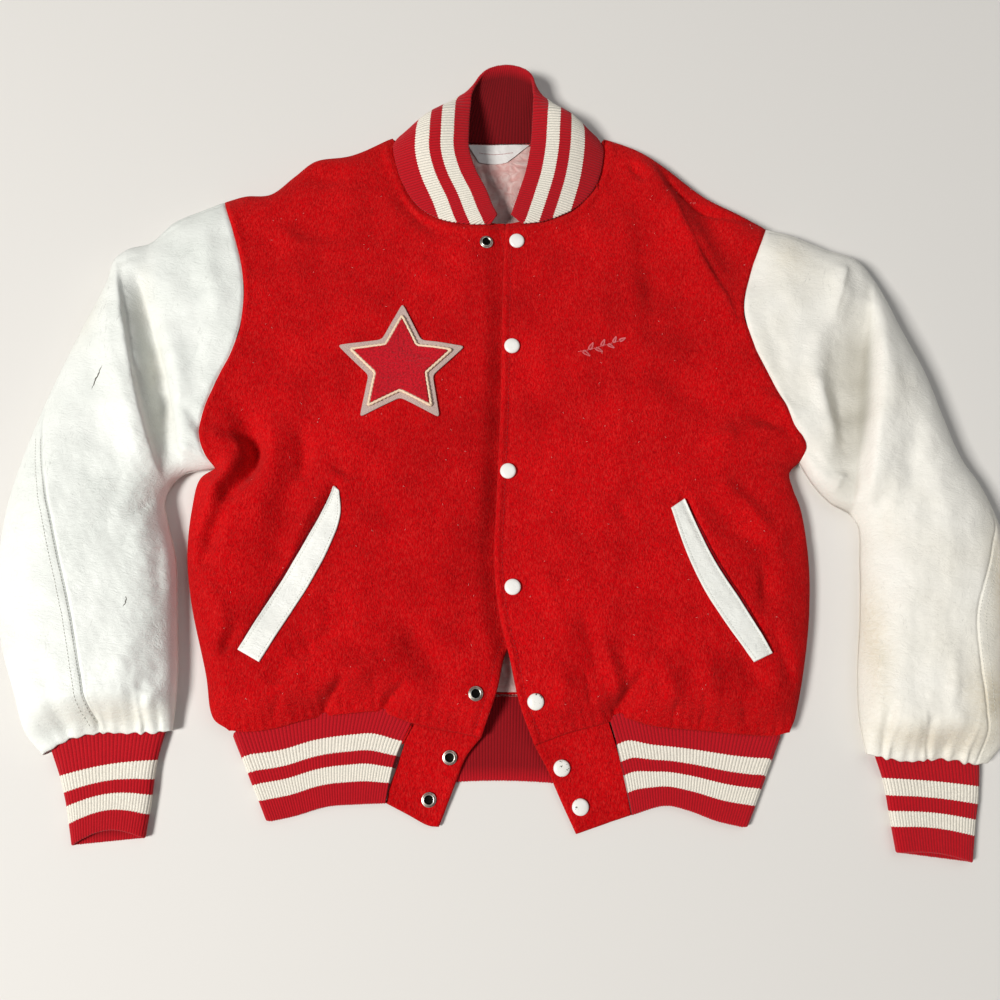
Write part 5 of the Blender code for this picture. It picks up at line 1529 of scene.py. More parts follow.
def make_tube(name: str, line: Points, radius: Points, sides: int = 8, twist: float = 0.0) -> Object:
    """A round yarn or cord along a line in space.

    Args:
        name: The piece's name.
        line: Its places in millimetres. A closed one ends where it starts.
        radius: Its radius at each of them.
        sides: Faces round it.
        twist: Length of one turn of its plies, or 0 for a smooth yarn.

    Returns:
        The new object.
    """
    closed = np.allclose(line[0], line[-1])
    ahead = np.gradient(line, axis=0)
    if closed:
        ahead[0] = ahead[-1] = line[1] - line[-2]
    ahead = unit(ahead)
    side = unit(np.cross(ahead, (0.0, 0.0, 1.0)))
    up = np.cross(side, ahead)
    turns = np.linspace(0, 2 * math.pi, sides + 1)
    run = np.concatenate([[0], np.cumsum(np.linalg.norm(np.diff(line, axis=0), axis=1))])
    swell = np.ones((len(line), sides + 1))
    if twist:
        whole = max(1, round(run[-1] / twist))
        swell += 0.2 * np.cos(2 * turns[None] - 2 * math.pi * whole * (run / run[-1])[:, None])
    reach = swell * np.asarray(radius, float).reshape(-1, 1)
    points = line[:, None] + reach[..., None] * (
        np.cos(turns)[None, :, None] * side[:, None] + np.sin(turns)[None, :, None] * up[:, None])
    points[:, -1] = points[:, 0]
    middle = points - line[:, None]
    if (grid_normals(points) * middle).sum() < 0:
        points = points[:, ::-1]
    if closed:
        points[-1] = points[0]
    return grid_cloth(name, points, flat_cut(points), wrap=Wrap.WELDED if closed else Wrap.CAPPED)


@dataclass(frozen=True)
class StitchRow:
    """A row of sewn stitches along a course. Sizes in millimetres."""

    name: str
    pitch: float = 3.1
    length: float = 2.3
    radius: float = 0.33
    sunk: float = 0.1

    def sew(self, courses: Sequence[Course], surface: Surface) -> Object:
        """Sews the row on a surface."""
        bm = bmesh.new()
        for course in courses:
            count = max(1, round(course.length() / self.pitch))
            half = self.length / 2 / course.length()
            for share in (np.arange(count) + 0.5) / count:
                self.stitch(bm, surface, course.at([share - half, share + half]))
        return placed(self.name, bm)

    def stitch(self, bm: bmesh.types.BMesh, surface: Surface, ends: Points) -> None:
        """Adds one stitch between two places."""
        hits = [surface.under(*end) for end in ends]
        if None in hits:
            return
        start, end = [Vector((*place, hit[0])) for place, hit in zip(ends, hits)]
        normal = (hits[0][1] + hits[1][1]).normalized()
        ahead = (end - start).normalized()
        across = normal.cross(ahead).normalized()
        up = ahead.cross(across)
        middle = (start + end) / 2 + up * (self.radius - self.sunk)
        frame_of = Matrix((ahead, across, up)).transposed().to_4x4()
        size = Matrix.Diagonal((self.length / 2, self.radius, self.radius * 0.8, 1.0))
        matrix = Matrix.Scale(MM, 4) @ Matrix.Translation(middle) @ frame_of @ size
        bmesh.ops.create_icosphere(bm, subdivisions=1, radius=1.0, matrix=matrix)


# ---- wool body ----


def rounded_corners(plan: Points) -> Points:
    """Pulls the two lower corners of the wool in, so that they come out round."""
    plan = plan.copy()
    for name, pull in CORNER_PULLS.items():
        corner = PATHS[name].line[-1]
        plan += np.array(pull) * np.exp(-((plan - corner) ** 2).sum(-1) / CORNER_REACH ** 2)[..., None]
    return plan


@dataclass
class WoolBody:
    """The red wool: two fronts that overlap, the back, and the doubled tabs at the waist."""

    wall: float = 2.2
    tab_wall: float = 2.7
    step: float = 3.0
    back_step: float = 6.5
    tab_step: float = 2.2
    arm_groove: Ridge = Ridge(0.0, 1.8, -1.4)
    arm_swell: Ridge = Ridge(5.0, 3.5, 0.7)
    arm_stitching: Ridge = Ridge(7.5, 1.4, -0.4)
    edge_stitching: Ridge = Ridge(7.5, 1.5, -1.0)
    neck_swell: Ridge = Ridge(9.5, 3.2, 2.0)
    neck_groove: Ridge = Ridge(0.0, 3.0, -1.0)
    tab_stitching: Ridge = Ridge(7.5, 1.3, -0.35)
    edge_roll: tuple[float, float] = (1.6, 3.2)
    hem_roll: tuple[float, float] = (2.6, 5.5)
    tab_roll: tuple[float, float] = (1.9, 3.4)
    tab_seam_roll: tuple[float, float] = (0.8, 1.6)
    tab_tuck: float = 4.0
    tab_gap: float = 0.5
    tab_heights: tuple[float, float, float] = (10.3, 6.9, 5.7)
    gather_pitch: float = 8.5
    gather_rise: float = 1.3
    gather_reach: float = 15.0
    edge_lift: float = 1.3
    edge_hollow: float = 5.5
    lap_start: tuple[float, float] = (0.1, 0.12)
    lap_end: tuple[float, float] = (0.93, 0.09)
    lip_slope: float = 2.6
    lip_hollow: float = 0.8
    ease: float = 14.0
    dent_pitch: float = 46.0
    dent_rise: float = 0.8
    front_cut: Cut = Cut(0.33, 0.62, 0.152, rests_on=("wool_back",))
    back_cut: Cut = Cut(0.62, 0.62, 0.295)
    tab_cut: Cut = Cut(0.085, 0.095, 0.0052, Held.FOLDED)
    surfaces: dict[str, Surface] = field(default_factory=dict)

    def build(self) -> None:
        """Makes and dresses all of it."""
        self.back()
        for side in Side:
            self.front(side)
            self.tab(side)
            self.sew_edge(side)

    def add(self, node: str, plan: Points, height: Points, wall: float, cut: Cut, up: bool = True) -> None:
        """Makes and dresses one piece of wool over the node that it is named for."""
        name = "wool_" + node.removesuffix("_panel")
        obj, self.surfaces[node] = walled_cloth(name, raised(plan, height), wall, up)
        finish_piece(obj, MELTON, [node], cut)

    def front(self, side: Side) -> None:
        """Makes one front, from its armhole and side to its closing edge."""
        name = side.value
        armhole, flank = PATHS["armhole_" + name], PATHS["side_" + name]
        outside = armhole.joined(flank)
        top = PATHS["shoulder_" + name].joined(PATHS["neck_" + name])
        closing, hem = PATHS["front_" + name], PATHS["hem_" + name]
        down, over = graded(outside.length(), self.step), graded(top.length(), self.step)
        plan = four_sided(outside.at(down), closing.at(down), top.at(over), hem.at(over), down, over)
        plan = rounded_corners(drawn_to(plan, WOOL_LIPS))
        depth = FORM.depth(plan)
        inside = smooth_step(depth / self.ease)
        height = FORM.front(plan, side)
        fine = fold_rise(plan, WOOL_FOLDS) + fold_rise(plan, WOOL_PINCHES, Crest.SHARP)
        fine += fold_rise(plan, WOOL_LIPS, Crest.STEP, self.lip_slope)
        fine -= self.lip_hollow * fold_rise(plan, WOOL_LIPS, Crest.UNDER_STEP, self.lip_slope)
        fine += self.lapped(plan, side)
        fine += self.dent_rise * crumple(plan, self.dent_pitch, 1.0 if side is Side.LEFT else 2.6)
        hem_gap, hem_share = hem.nearest(plan)
        hem_gap = np.abs(hem_gap)
        run = hem_share * hem.length() / self.gather_pitch
        gathers = np.cos(2 * math.pi * run + ragged(run * 0.9, 2.0, 2.2))
        gathers *= 0.7 + ragged(run * 0.7, 4.0, 0.3)
        fine += self.gather_rise * gathers * np.exp(-hem_gap / self.gather_reach) * smooth_step(hem_gap / 5)
        height = height + fine * inside
        arm_gap = armhole.gap(plan)
        height += self.arm_groove.on(arm_gap) * smooth_step(depth / 6)
        height += self.arm_swell.on(arm_gap) * inside
        height += self.arm_stitching.on(arm_gap) * inside
        edge_gap = closing.gap(plan)
        height -= pulled_down(edge_gap, *self.edge_roll)
        height += self.edge_stitching.on(edge_gap)
        height -= pulled_down(hem_gap, *self.hem_roll) * smooth_step(depth / 6)
        neck_gap = PATHS["neck_" + name].gap(plan)
        height += self.neck_swell.on(neck_gap) * inside + self.neck_groove.on(neck_gap)
        mouth_gap, mouth_share = PATHS["welt_outer_" + name].nearest(plan)
        open_end = np.clip(mouth_share, 0, 1) ** 2
        height -= POCKET_MOUTH_DEPTH * (1 + open_end) * bell(mouth_gap, 2.4 + 1.2 * open_end)
        height = np.where(depth < 0.02, FORM.rim + FORM.parting, np.maximum(height, FORM.lowest))
        self.add("front_" + name, plan, height, self.wall, self.front_cut)

    def lapped(self, plan: Points, side: Side) -> Points:
        """The lift of the left front's edge, or the hollow that it leaves in the right front beside it."""
        across, along = PATHS["front_left"].nearest(plan)
        (start, fade_in), (end, fade_out) = self.lap_start, self.lap_end
        amount = smooth_step((along - start) / fade_in) * smooth_step((end - along) / fade_out)
        amount = amount * (0.85 + ragged(along * 11, 2.0, 0.25))
        if side is Side.LEFT:
            return self.edge_lift * amount * bell(across - 4.2, 3.4)
        return -self.edge_hollow * amount * bell(across, np.where(across < 0, 9.0, 14.0))

    def back(self) -> None:
        """Makes the back, flat on the floor and turned up along its shoulders and sides."""
        sides = [PATHS["armhole_" + side.value].joined(PATHS["side_" + side.value]) for side in Side]
        top = PATHS["shoulder_right"].joined(PATHS["neck_back"], PATHS["shoulder_left"].back())
        down, over = graded(sides[0].length(), self.back_step), graded(top.length(), self.back_step)
        plan = rounded_corners(four_sided(
            sides[0].at(down), sides[1].at(down), top.at(over), PATHS["hem_back"].at(over), down, over))
        depth = FORM.depth(plan)
        height = np.minimum(FORM.lower(plan), FORM.rim - FORM.parting)
        height += 0.5 * (1 + crumple(plan, 60.0, 4.0)) * smooth_step(depth / 25)
        self.add("back_panel", plan, height, self.wall, self.back_cut, up=False)

    def tab(self, side: Side) -> None:
        """Makes the doubled end of one front, which lies over the waistband's end."""
        name = side.value
        hem = PATHS["hem_" + name]
        seam, closing, end = PATHS["tab_seam_" + name], PATHS["tab_front_" + name], PATHS["tab_end_" + name]
        down, over = graded(seam.length(), self.tab_step), graded(end.length(), self.tab_step)
        shift = (self.tab_gap if side is Side.RIGHT else -self.tab_gap, 0)
        start = float(hem.nearest(np.array([seam.line[0]]))[1][0])
        left, right = seam.at(down) + shift, closing.at(down)
        top, bottom = hem.part(start, 1.0).at(over), end.at(over)
        top[0], top[-1], bottom[0], bottom[-1] = left[0], right[0], left[-1], right[-1]
        plan = four_sided(left, right, top, bottom, down, over)
        plan[0, :, 1] += self.tab_tuck
        share = down[:, None]
        high, middle, low = self.tab_heights
        height = high - (high - middle) * smooth_step(2 * share) - (middle - low) * smooth_step(2 * share - 1)
        height = height + np.zeros(plan.shape[:2])
        for course, roll in ((closing, self.tab_roll), (end, self.tab_roll), (seam, self.tab_seam_roll)):
            height -= pulled_down(course.gap(plan), *roll)
        for course in (closing, end, seam):
            height += self.tab_stitching.on(course.gap(plan))
        height += 0.35 * crumple(plan, 22.0, 3.0)
        self.add("tab_" + name, plan, height, self.tab_wall, self.tab_cut)

    def sew_edge(self, side: Side) -> None:
        """Stitches along a front's closing edge."""
        name = side.value
        inset = self.edge_stitching.inset * (1 if side is Side.RIGHT else -1)
        row = PATHS["front_" + name].aside(inset).part(0.02, 0.985)
        obj = StitchRow("stitches_front_edge_" + name, sunk=0.3).sew([row], self.surfaces["front_" + name])
        finish_piece(obj, WOOL_THREAD)


# ---- leather sleeves ----


@dataclass
class LeatherSleeve:
    """One sleeve: a top piece, and an under piece that wraps the outer edge up to the sewn seam."""

    side: Side
    seam_stops: tuple[tuple[float, float], ...]
    top_cut: Cut
    under_cut: Cut
    wall: float = 1.5
    step: float = 2.8
    under_step: float = 6.0
    lap_step: float = 3.6
    lap_width: float = 60.0
    seam_groove: Ridge = Ridge(0.0, 1.5, -1.1)
    arm_groove: Ridge = Ridge(0.0, 1.7, -1.5)
    hem_roll: tuple[float, float] = (2.4, 5.0)
    gather_pitch: float = 11.5
    gather_rise: float = 1.9
    overhang: float = 1.5
    lip_hollow: float = 0.45
    ease: float = 16.0
    dent_pitch: float = 34.0
    dent_rise: float = 0.55
    # depth of hollow at which the painted crease shade is full
    soiling: float = 5.5
    least_wear: float = 0.16
    lap_rows: tuple[float, float] = (1.9, 7.6)
    surface: Surface = field(init=False)

    def build(self) -> None:
        """Makes and dresses both pieces, then sews the seam."""
        name = self.side.value
        length = (PATHS["outer_" + name].length() + PATHS["inner_" + name].length()) / 2
        down = graded(length, self.step)
        seam = self.seam(down)[:, None]
        over = graded(PATHS["armhole_" + name].length(), self.step)
        top_plan = unfolded(self.plan(down, seam + (1 - seam) * over[None]))
        top = self.shaped(top_plan)
        top[:, -1, 2] = FORM.rim + FORM.parting
        self.surface = self.add("top", top, top_plan, self.top_cut)
        below = np.ones_like(seam) * graded(PATHS["armhole_" + name].length(), self.under_step)[::-1][None]
        below = unfolded(self.plan(down, below))
        lap = graded(self.lap_width, self.lap_step)[1:]
        above = self.plan(down, seam * lap[None])
        low = raised(below, FORM.lower(below))
        low[:, 0, 2] = FORM.rim - FORM.parting
        low[:, -1, 2] = FORM.rim
        under = np.concatenate([low, self.shaped(above)], axis=1)
        plan = np.concatenate([below, above], axis=1)
        self.sew(self.add("under", under, plan, self.under_cut, up=False))

    def add(self, part: str, points: Points, plan: Points, cut: Cut, up: bool = True) -> Surface:
        """Makes and dresses the top or the under piece."""
        name = f"sleeve_{part}_{self.side.value}"
        marks = self.marks(plan)
        obj, surface = walled_cloth("leather_" + name, points, self.wall, up, marks=marks, clamp=1.0)
        finish_piece(obj, LEATHER[self.side], [name], cut)
        return surface

    def seam(self, shares: Points) -> Points:
        """Where the sewn seam runs across the sleeve, for shares of its length."""
        course = Course.through(self.seam_stops, 10)
        return np.interp(shares, course.line[:, 0], course.line[:, 1])

    def plan(self, along: Points, across: Points) -> Points:
        """Places of the sleeve on the floor plan.

        Args:
            along: Shares of its length, one for each row.
            across: Shares of its width for each row and column, 0 at the outer edge.

        Returns:
            Rows and columns of places.
        """
        name = self.side.value
        t, s = np.asarray(along, float)[:, None, None], across[..., None]
        outer, inner = PATHS["outer_" + name].at(along)[:, None], PATHS["inner_" + name].at(along)[:, None]
        armhole, cuff = PATHS["armhole_" + name].at(across), PATHS["cuff_seam_" + name].at(across)
        ends = [PATHS[path + name].at([share])[0] for path in ("armhole_", "cuff_seam_") for share in (0, 1)]
        blend = (1 - t) * ((1 - s) * ends[0] + s * ends[1]) + t * ((1 - s) * ends[2] + s * ends[3])
        return (1 - t) * armhole + t * cuff + (1 - s) * outer + s * inner - blend

    def seam_course(self) -> Course:
        """The sewn seam on the floor plan."""
        along = np.linspace(0, 1, 160)
        return Course(self.plan(along, self.seam(along)[:, None])[:, 0])

    def shaped(self, plan: Points) -> Points:
        """The upper side of the sleeve over a plan, with its folds, seams and gathered end."""
        name = self.side.value
        plan = unfolded(drawn_to(plan, LEATHER_LIPS))
        depth = FORM.depth(plan)
        inside = smooth_step(depth / self.ease)
        fine = fold_rise(plan, LEATHER_FOLDS) + fold_rise(plan, LEATHER_PINCHES, Crest.SHARP)
        fine += fold_rise(plan, LEATHER_LIPS, Crest.STEP)
        fine -= self.lip_hollow * fold_rise(plan, LEATHER_LIPS, Crest.UNDER_STEP)
        seed = 0.7 if self.side is Side.RIGHT else 3.9
        fine += self.dent_rise * crumple(plan, self.dent_pitch, seed)
        fine += 0.35 * self.dent_rise * crumple(plan, self.dent_pitch / 2.7, seed + 1)
        cuff_gap, cuff_share = PATHS["cuff_seam_" + name].nearest(plan)
        cuff_gap = np.abs(cuff_gap)
        run = cuff_share * PATHS["cuff_seam_" + name].length() / self.gather_pitch
        gathers = np.cos(2 * math.pi * run + ragged(run * 0.8, 1.0, 2.5))
        gathers *= 0.6 + ragged(run, 3.0, 0.5)
        reach = 17 + ragged(run * 1.3, 6.0, 9.0)
        fine += self.gather_rise * gathers * np.exp(-cuff_gap / reach) * smooth_step(cuff_gap / 5)
        height = FORM.sleeve_top(plan, self.side) + fine * inside
        height += self.seam_groove.on(self.seam_course().gap(plan)) * inside
        height += self.arm_groove.on(PATHS["armhole_" + name].gap(plan)) * smooth_step(depth / 6)
        height -= pulled_down(cuff_gap, *self.hem_roll) * smooth_step(depth / 5)
        plan[..., 1] -= self.overhang * (1 + gathers) * bell(cuff_gap, 6) * inside
        return raised(plan, np.maximum(height, FORM.lowest))

    def marks(self, plan: Points) -> dict[str, Points]:
        """How worn and how yellowed the leather is at each place, and how deep its painted shade is beside
        the bends.
        """
        # painted shade: how deep the hollow under each stepped bend lies
        soil = fold_rise(drawn_to(plan, LEATHER_LIPS), LEATHER_LIPS, Crest.UNDER_STEP) / self.soiling
        marks = {"wear": self.least_wear + swelled(plan, WORN), "stain": swelled(plan, STAINED_AND_SHADED), "soil": soil}
        return {name: np.clip(mark, 0, 1) for name, mark in marks.items()}

    def sew(self, surface: Surface) -> None:
        """Sews the two rows beside the seam, on the under piece."""
        course = self.seam_course()
        out = 1 if self.side is Side.RIGHT else -1
        start = next(along for along, across in self.seam_stops if across > 0.1)
        rows = [course.aside(out * inset).part(start + 0.02, 0.985) for inset in self.lap_rows]
        obj = StitchRow("stitches_sleeve_" + self.side.value).sew(rows, surface)
        finish_piece(obj, LEATHER_THREAD)


# ---- rib knit ----


@dataclass
class RibCuff:
    """A flattened tube of doubled rib, tucked into the end of its sleeve."""

    side: Side
    cut: Cut
    height: float = 11.2
    lift: float = 1.9
    sag: float = 4.0
    tuck_in: float = 7.0
    side_power: int = 9
    row_step: float = 4.2
    half_round: int = 120
    cloth: RibCloth = RibCloth()

    def build(self) -> None:
        """Makes and dresses the cuff."""
        name = self.side.value
        outer, inner = PATHS["cuff_outer_" + name], PATHS["cuff_inner_" + name]
        length = (outer.length() + inner.length()) / 2
        tuck = self.cloth.wall / 2 / length
        shares = np.linspace(tuck, 1 - tuck, round(length / self.row_step))
        rings = [self.ring(outer.at([share])[0], inner.at([share])[0], share) for share in shares]
        ribs = self.cloth.ribs(Course(rings[len(rings) // 2]).length())
        around = np.linspace(0, 1, ribs * self.cloth.columns_a_rib + 1)
        grid = np.array([Course(ring).at(around) for ring in rings])
        grid[:, -1] = grid[:, 0]
        if self.side is Side.LEFT:
            grid = grid[:, ::-1]
        self.cloth.knit("cuff_" + name, grid, RIB_CUFF[self.side], self.cut, closed=True)

    def ring(self, outer: Points, inner: Points, share: float) -> Points:
        """The cuff's outside at a share of its length, once round from its outer edge.

        Args:
            outer: The outer edge's place.
            inner: The inner edge's place.
            share: Share of the cuff's length.

        Returns:
            Places in space.
        """
        turn = np.linspace(0, 2 * math.pi, 2 * self.half_round + 1)
        across = (1 - np.cos(turn)) / 2
        above = np.where(np.arange(len(turn)) <= self.half_round, 1.0, -1.0)
        swell = (1 - np.abs(2 * across - 1) ** self.side_power).clip(0) ** 0.5
        lift = self.lift * float(np.interp(share, (0.12, 0.3), (1, 0)))
        plan = outer + (inner - outer) * across[:, None]
        arch = self.sag * share + self.tuck_in * max(0.0, 1 - share / 0.25)
        plan[:, 1] += arch * np.where(above > 0, np.sin(math.pi * across), 0)
        low = np.where(above < 0, lift * swell, 0) + lift / 2 * (1 - swell)
        return raised(plan, self.height / 2 * (1 + above * swell) + low)


@dataclass
class RibWaistband:
    """One doubled strip of rib from the right tab, round under the back, to the left tab."""

    cut: Cut = Cut(0.78, 0.08, held=Held.FOLDED)
    top_height: float = 10.2
    foot_height: float = 8.2
    tuck: float = 4.0
    back_gap: float = 0.8
    row_step: float = 4.6
    samples: int = 160
    fold_samples: int = 29
    back_samples: int = 200
    cloth: RibCloth = RibCloth()

    def build(self) -> None:
        """Makes and dresses the waistband."""
        stretches = self.limb(Side.LEFT), self.back(), self.limb(Side.RIGHT, backwards=True)
        upper, lower, bow = [np.vstack(lines) for lines in zip(*stretches)]
        ribs = self.cloth.ribs(Course((upper + lower) / 2).length())
        upper, lower, bow = evened([upper, lower, bow], ribs * self.cloth.columns_a_rib + 1)
        span = np.linalg.norm(upper - lower, axis=1).mean()
        tuck = self.cloth.wall / 2 / span
        shares = np.linspace(tuck, 1 - tuck, round(span / self.row_step))[:, None, None]
        grid = upper + (lower - upper) * shares + bow * np.sin(math.pi * shares)
        self.cloth.knit("waistband", grid, RIB_WAIST, self.cut)

    def limb(self, side: Side, backwards: bool = False) -> tuple[Points, Points, Points]:
        """The stretch on one front and its fold round the side.

        Args:
            side: Which front.
            backwards: Whether it runs from the side to the tab.

        Returns:
            The upper and the lower edge, and how far the middle bows out between them.
        """
        name = side.value
        turn = 1 if side is Side.LEFT else -1
        hem, seam = PATHS["hem_" + name], PATHS["tab_seam_" + name]
        start = float(hem.nearest(seam.line[:1])[1][0])
        shape = hem.part(start, 0.0, self.samples).line
        corner = PATHS["rib_side_" + name].line[0]
        inside = shape[shape[:, 0] * turn < corner[0] * turn - 2]
        top = Course(np.vstack([inside, corner]) + (0, self.tuck))
        foot = PATHS["rib_edge_" + name]
        shares = np.linspace(0, 1, self.samples)
        ends = seam.at([0, 0.5, 1])
        seam_bow = ends[1] - (ends[0] + ends[2]) / 2
        shift = np.stack([-turn * shares * self.top_height * 0.5, 0 * shares], axis=-1)
        upper = raised(top.at(shares) + shift, np.full(self.samples, self.top_height))
        lower = raised(foot.at(shares) + shift, np.full(self.samples, self.foot_height))
        bow = np.column_stack([seam_bow * (1 - shares[:, None]), np.zeros(self.samples)])
        swings = np.radians(np.linspace(6, 174, self.fold_samples))
        out = turn * (np.sin(swings) - 1)
        tall, short = self.top_height / 2, self.foot_height / 2
        sunk = -(self.tuck + self.back_gap) * smooth_step(np.degrees(swings) / 120)
        fold_top = np.column_stack([top.line[-1, 0] + out * tall, top.line[-1, 1] + sunk,
                                    tall * (1 + np.cos(swings))])
        fold_foot = np.column_stack([foot.line[-1, 0] + out * short, foot.line[-1, 1] + 0 * out,
                                     short * (1 + np.cos(swings))])
        found = (np.vstack([upper, fold_top]), np.vstack([lower, fold_foot]),
                 np.vstack([bow, np.zeros((self.fold_samples, 3))]))
        return tuple(line[::-1] for line in found) if backwards else found

    def back(self) -> tuple[Points, Points, Points]:
        """The stretch under the back, from the left side to the right."""
        top = PATHS["hem_back"].at(np.linspace(0.965, 0.035, self.back_samples)) - (0, self.back_gap)
        foot = PATHS["rib_edge_back"].at(np.linspace(0.99, 0.01, self.back_samples))
        floor = np.zeros(self.back_samples)
        return raised(top, floor), raised(foot, floor), np.zeros((self.back_samples, 3))


class CollarStop(NamedTuple):
    """A place along the collar: its seam, its folded edge, and how far it curves out between.

    The seam lies on a front where its height is 0.
    """

    seam_x: float
    seam_y: float
    seam_z: float
    top_x: float
    top_y: float
    top_z: float
    bulge: float


@dataclass
class RibCollar:
    """The doubled rib collar: its seam follows the neck, and its folded edge rings the opening."""

    body: WoolBody
    stops: tuple[CollarStop, ...]
    cut: Cut = Cut(0.45, 0.078, held=Held.FOLDED)
    lift: float = 0.4
    row_step: float = 4.0
    cloth: RibCloth = RibCloth()

    def build(self) -> None:
        """Makes and dresses the collar."""
        seam, top = [], []
        for stop in self.stops:
            height = stop.seam_z
            if not height:
                carrier = "front_right" if stop.seam_x < 0 else "front_left"
                hit = self.body.surfaces[carrier].under(stop.seam_x, stop.seam_y)
                height = hit[0] + self.lift + self.cloth.wall
            seam.append((stop.seam_x, stop.seam_y, height))
            top.append((stop.top_x, stop.top_y, stop.top_z))
        seam_line, top_line = Course.through(seam, 12).line, Course.through(top, 12).line
        place = np.linspace(0, len(self.stops) - 1, len(seam_line))
        bulge = np.interp(place, np.arange(len(self.stops)), [stop.bulge for stop in self.stops])
        ribs = self.cloth.ribs(Course((seam_line + top_line) / 2).length())
        count = ribs * self.cloth.columns_a_rib + 1
        seam_line, top_line, bulge = evened([seam_line, top_line, np.column_stack([bulge] * 3)], count)
        bulge = bulge[:, :1]
        outward = unit(np.cross(top_line - seam_line, np.gradient((seam_line + top_line) / 2, axis=0)))
        span = np.linalg.norm(top_line - seam_line, axis=1).mean()
        tuck = self.cloth.wall / 2 / span
        shares = np.linspace(tuck / 2, 1 - tuck, round(span / self.row_step))[:, None, None]
        grid = seam_line + (top_line - seam_line) * shares + outward * bulge * np.sin(math.pi * shares)
        self.cloth.knit("collar", grid, RIB_COLLAR, self.cut, flared=True)


# ---- small pieces on the body ----


@dataclass
class PocketWelt:
    """A leather strip along a slanted pocket mouth, with a pressed wool lip beside the slit."""

    side: Side
    body: WoolBody
    cut: Cut
    wall: float = 1.5
    lay: float = 0.5
    step: float = 1.9
    width: float = 24.0
    dent_pitch: float = 13.0
    dent_rise: float = 0.16
    roll: tuple[float, float] = (0.9, 1.6)
    stitching: Ridge = Ridge(3.0, 0.8, -0.3)
    lip_width: float = 3.6
    lip_wall: float = 1.2
    lip_cut: Cut = Cut(0.011, 0.165, 0.0007, Held.FOLDED)
    marks: tuple[tuple[str, float], ...] = (("wear", 0.35), ("stain", 0.12), ("soil", 0.0))

    def build(self) -> None:
        """Makes the strip, its stitches and the lip of the slit."""
        name = self.side.value
        outer, inner = PATHS["welt_outer_" + name], PATHS["welt_inner_" + name]
        down = graded(outer.length(), self.step)
        over = graded(self.width, self.step)[None, :, None]
        plan = (1 - over) * outer.at(down)[:, None] + over * inner.at(down)[:, None]
        carrier = self.body.surfaces["front_" + name]
        heights = self.bridged(carrier.heights(plan)) + self.lay + self.wall
        ends = np.minimum(down, 1 - down)[:, None] * outer.length()
        heights -= pulled_down(outer.gap(plan), *self.roll) + pulled_down(inner.gap(plan), *self.roll)
        heights -= pulled_down(np.broadcast_to(ends, heights.shape), *self.roll)
        for course in (outer, inner):
            heights += self.stitching.on(course.gap(plan))
        heights += self.dent_rise * crumple(plan, self.dent_pitch, 2.0)
        marks = {mark: np.full(heights.shape, amount) for mark, amount in self.marks}
        obj, surface = walled_cloth("leather_welt_" + name, raised(plan, heights), self.wall, marks=marks)
        shares = np.linspace(0.015, 0.985, 60)
        wide = outer.at(shares) - inner.at(shares)
        inset = self.stitching.inset / np.linalg.norm(wide, axis=1, keepdims=True)
        rows = [Course(outer.at(shares) - wide * inset), Course(inner.at(shares) + wide * inset)]
        sewn = StitchRow("stitches_welt_" + name, pitch=2.9, length=2.1, radius=0.28).sew(rows, surface)
        finish_piece(sewn, LEATHER_THREAD)
        finish_piece(obj, WELT_LEATHER, ["pocket_welt_" + name], self.cut)
        self.slit_lip(outer, inner, carrier)

    def bridged(self, heights: Points) -> Points:
        """Carries the strip over the slit's trough, from its firm side."""
        across = np.linspace(0, 1, heights.shape[1])[None]
        firm = heights[:, heights.shape[1] // 2:].mean(axis=1, keepdims=True)
        return heights + (firm - heights).clip(0) * (1 - across) ** 2

    def slit_lip(self, outer: Course, inner: Course, carrier: Surface) -> None:
        """Makes the narrow wool lip that shows along the slit, its darker red a painted shade of the slit."""
        shares = graded(outer.length(), 3.0)[1:-1] * 0.94 + 0.03
        wide = unit(outer.at(shares) - inner.at(shares))
        over = np.linspace(0.0, 1.0, 6)[None, :, None]
        taper = np.sin(math.pi * np.linspace(0.04, 0.96, len(shares)))[:, None, None] ** 0.4
        plan = outer.at(shares)[:, None] + wide[:, None] * (over * self.lip_width * taper - 0.4)
        heights = carrier.heights(plan) + 1.5 + 0.5 * np.sin(math.pi * over[..., 0])
        obj, _ = walled_cloth("wool_pocket_lip_" + self.side.value, raised(plan, heights), self.lip_wall)
        finish_piece(obj, MELTON_WELT, cut=self.lip_cut)


@dataclass
class Lining:
    """One stretch of the back's satin lining that shows."""

    name: str
    upper: tuple[tuple[float, float], tuple[float, float]]
    lower: tuple[tuple[float, float], tuple[float, float]]
    cut: Cut
    floor: float = 3.55
    wall: float = 0.8
    ripple: float = 1.1
    step: float = 1.6
    dent_pitch: float = 15.0
    dent_rise: float = 0.35

    def build(self) -> Surface:
        """Makes and dresses the stretch."""
        corners = np.array([*self.upper, *self.lower], float)
        down = graded(abs(corners[0, 1] - corners[2, 1]), self.step)[:, None, None]
        over = graded(corners[1, 0] - corners[0, 0], self.step)[None, :, None]
        plan = (1 - down) * ((1 - over) * corners[0] + over * corners[1]) + down * (
            (1 - over) * corners[2] + over * corners[3])
        x, y = plan[..., 0], plan[..., 1]
        waves = np.sin(x * 0.16 + y * 0.05) * np.sin(y * 0.11 - 0.6)
        heights = self.floor + self.ripple * (1 + waves) * np.sin(math.pi * down[..., 0])
        fine = fold_rise(plan, LINING_FOLDS) + self.dent_rise * crumple(plan, self.dent_pitch, 1.2)
        heights += fine * np.sin(math.pi * down[..., 0]) ** 0.5
        points = raised(plan, np.maximum(heights, self.floor - 0.2))
        obj, surface = walled_cloth("satin_" + self.name, points, self.wall)
        finish_piece(obj, LINING_SATIN, [self.name], self.cut)
        return surface


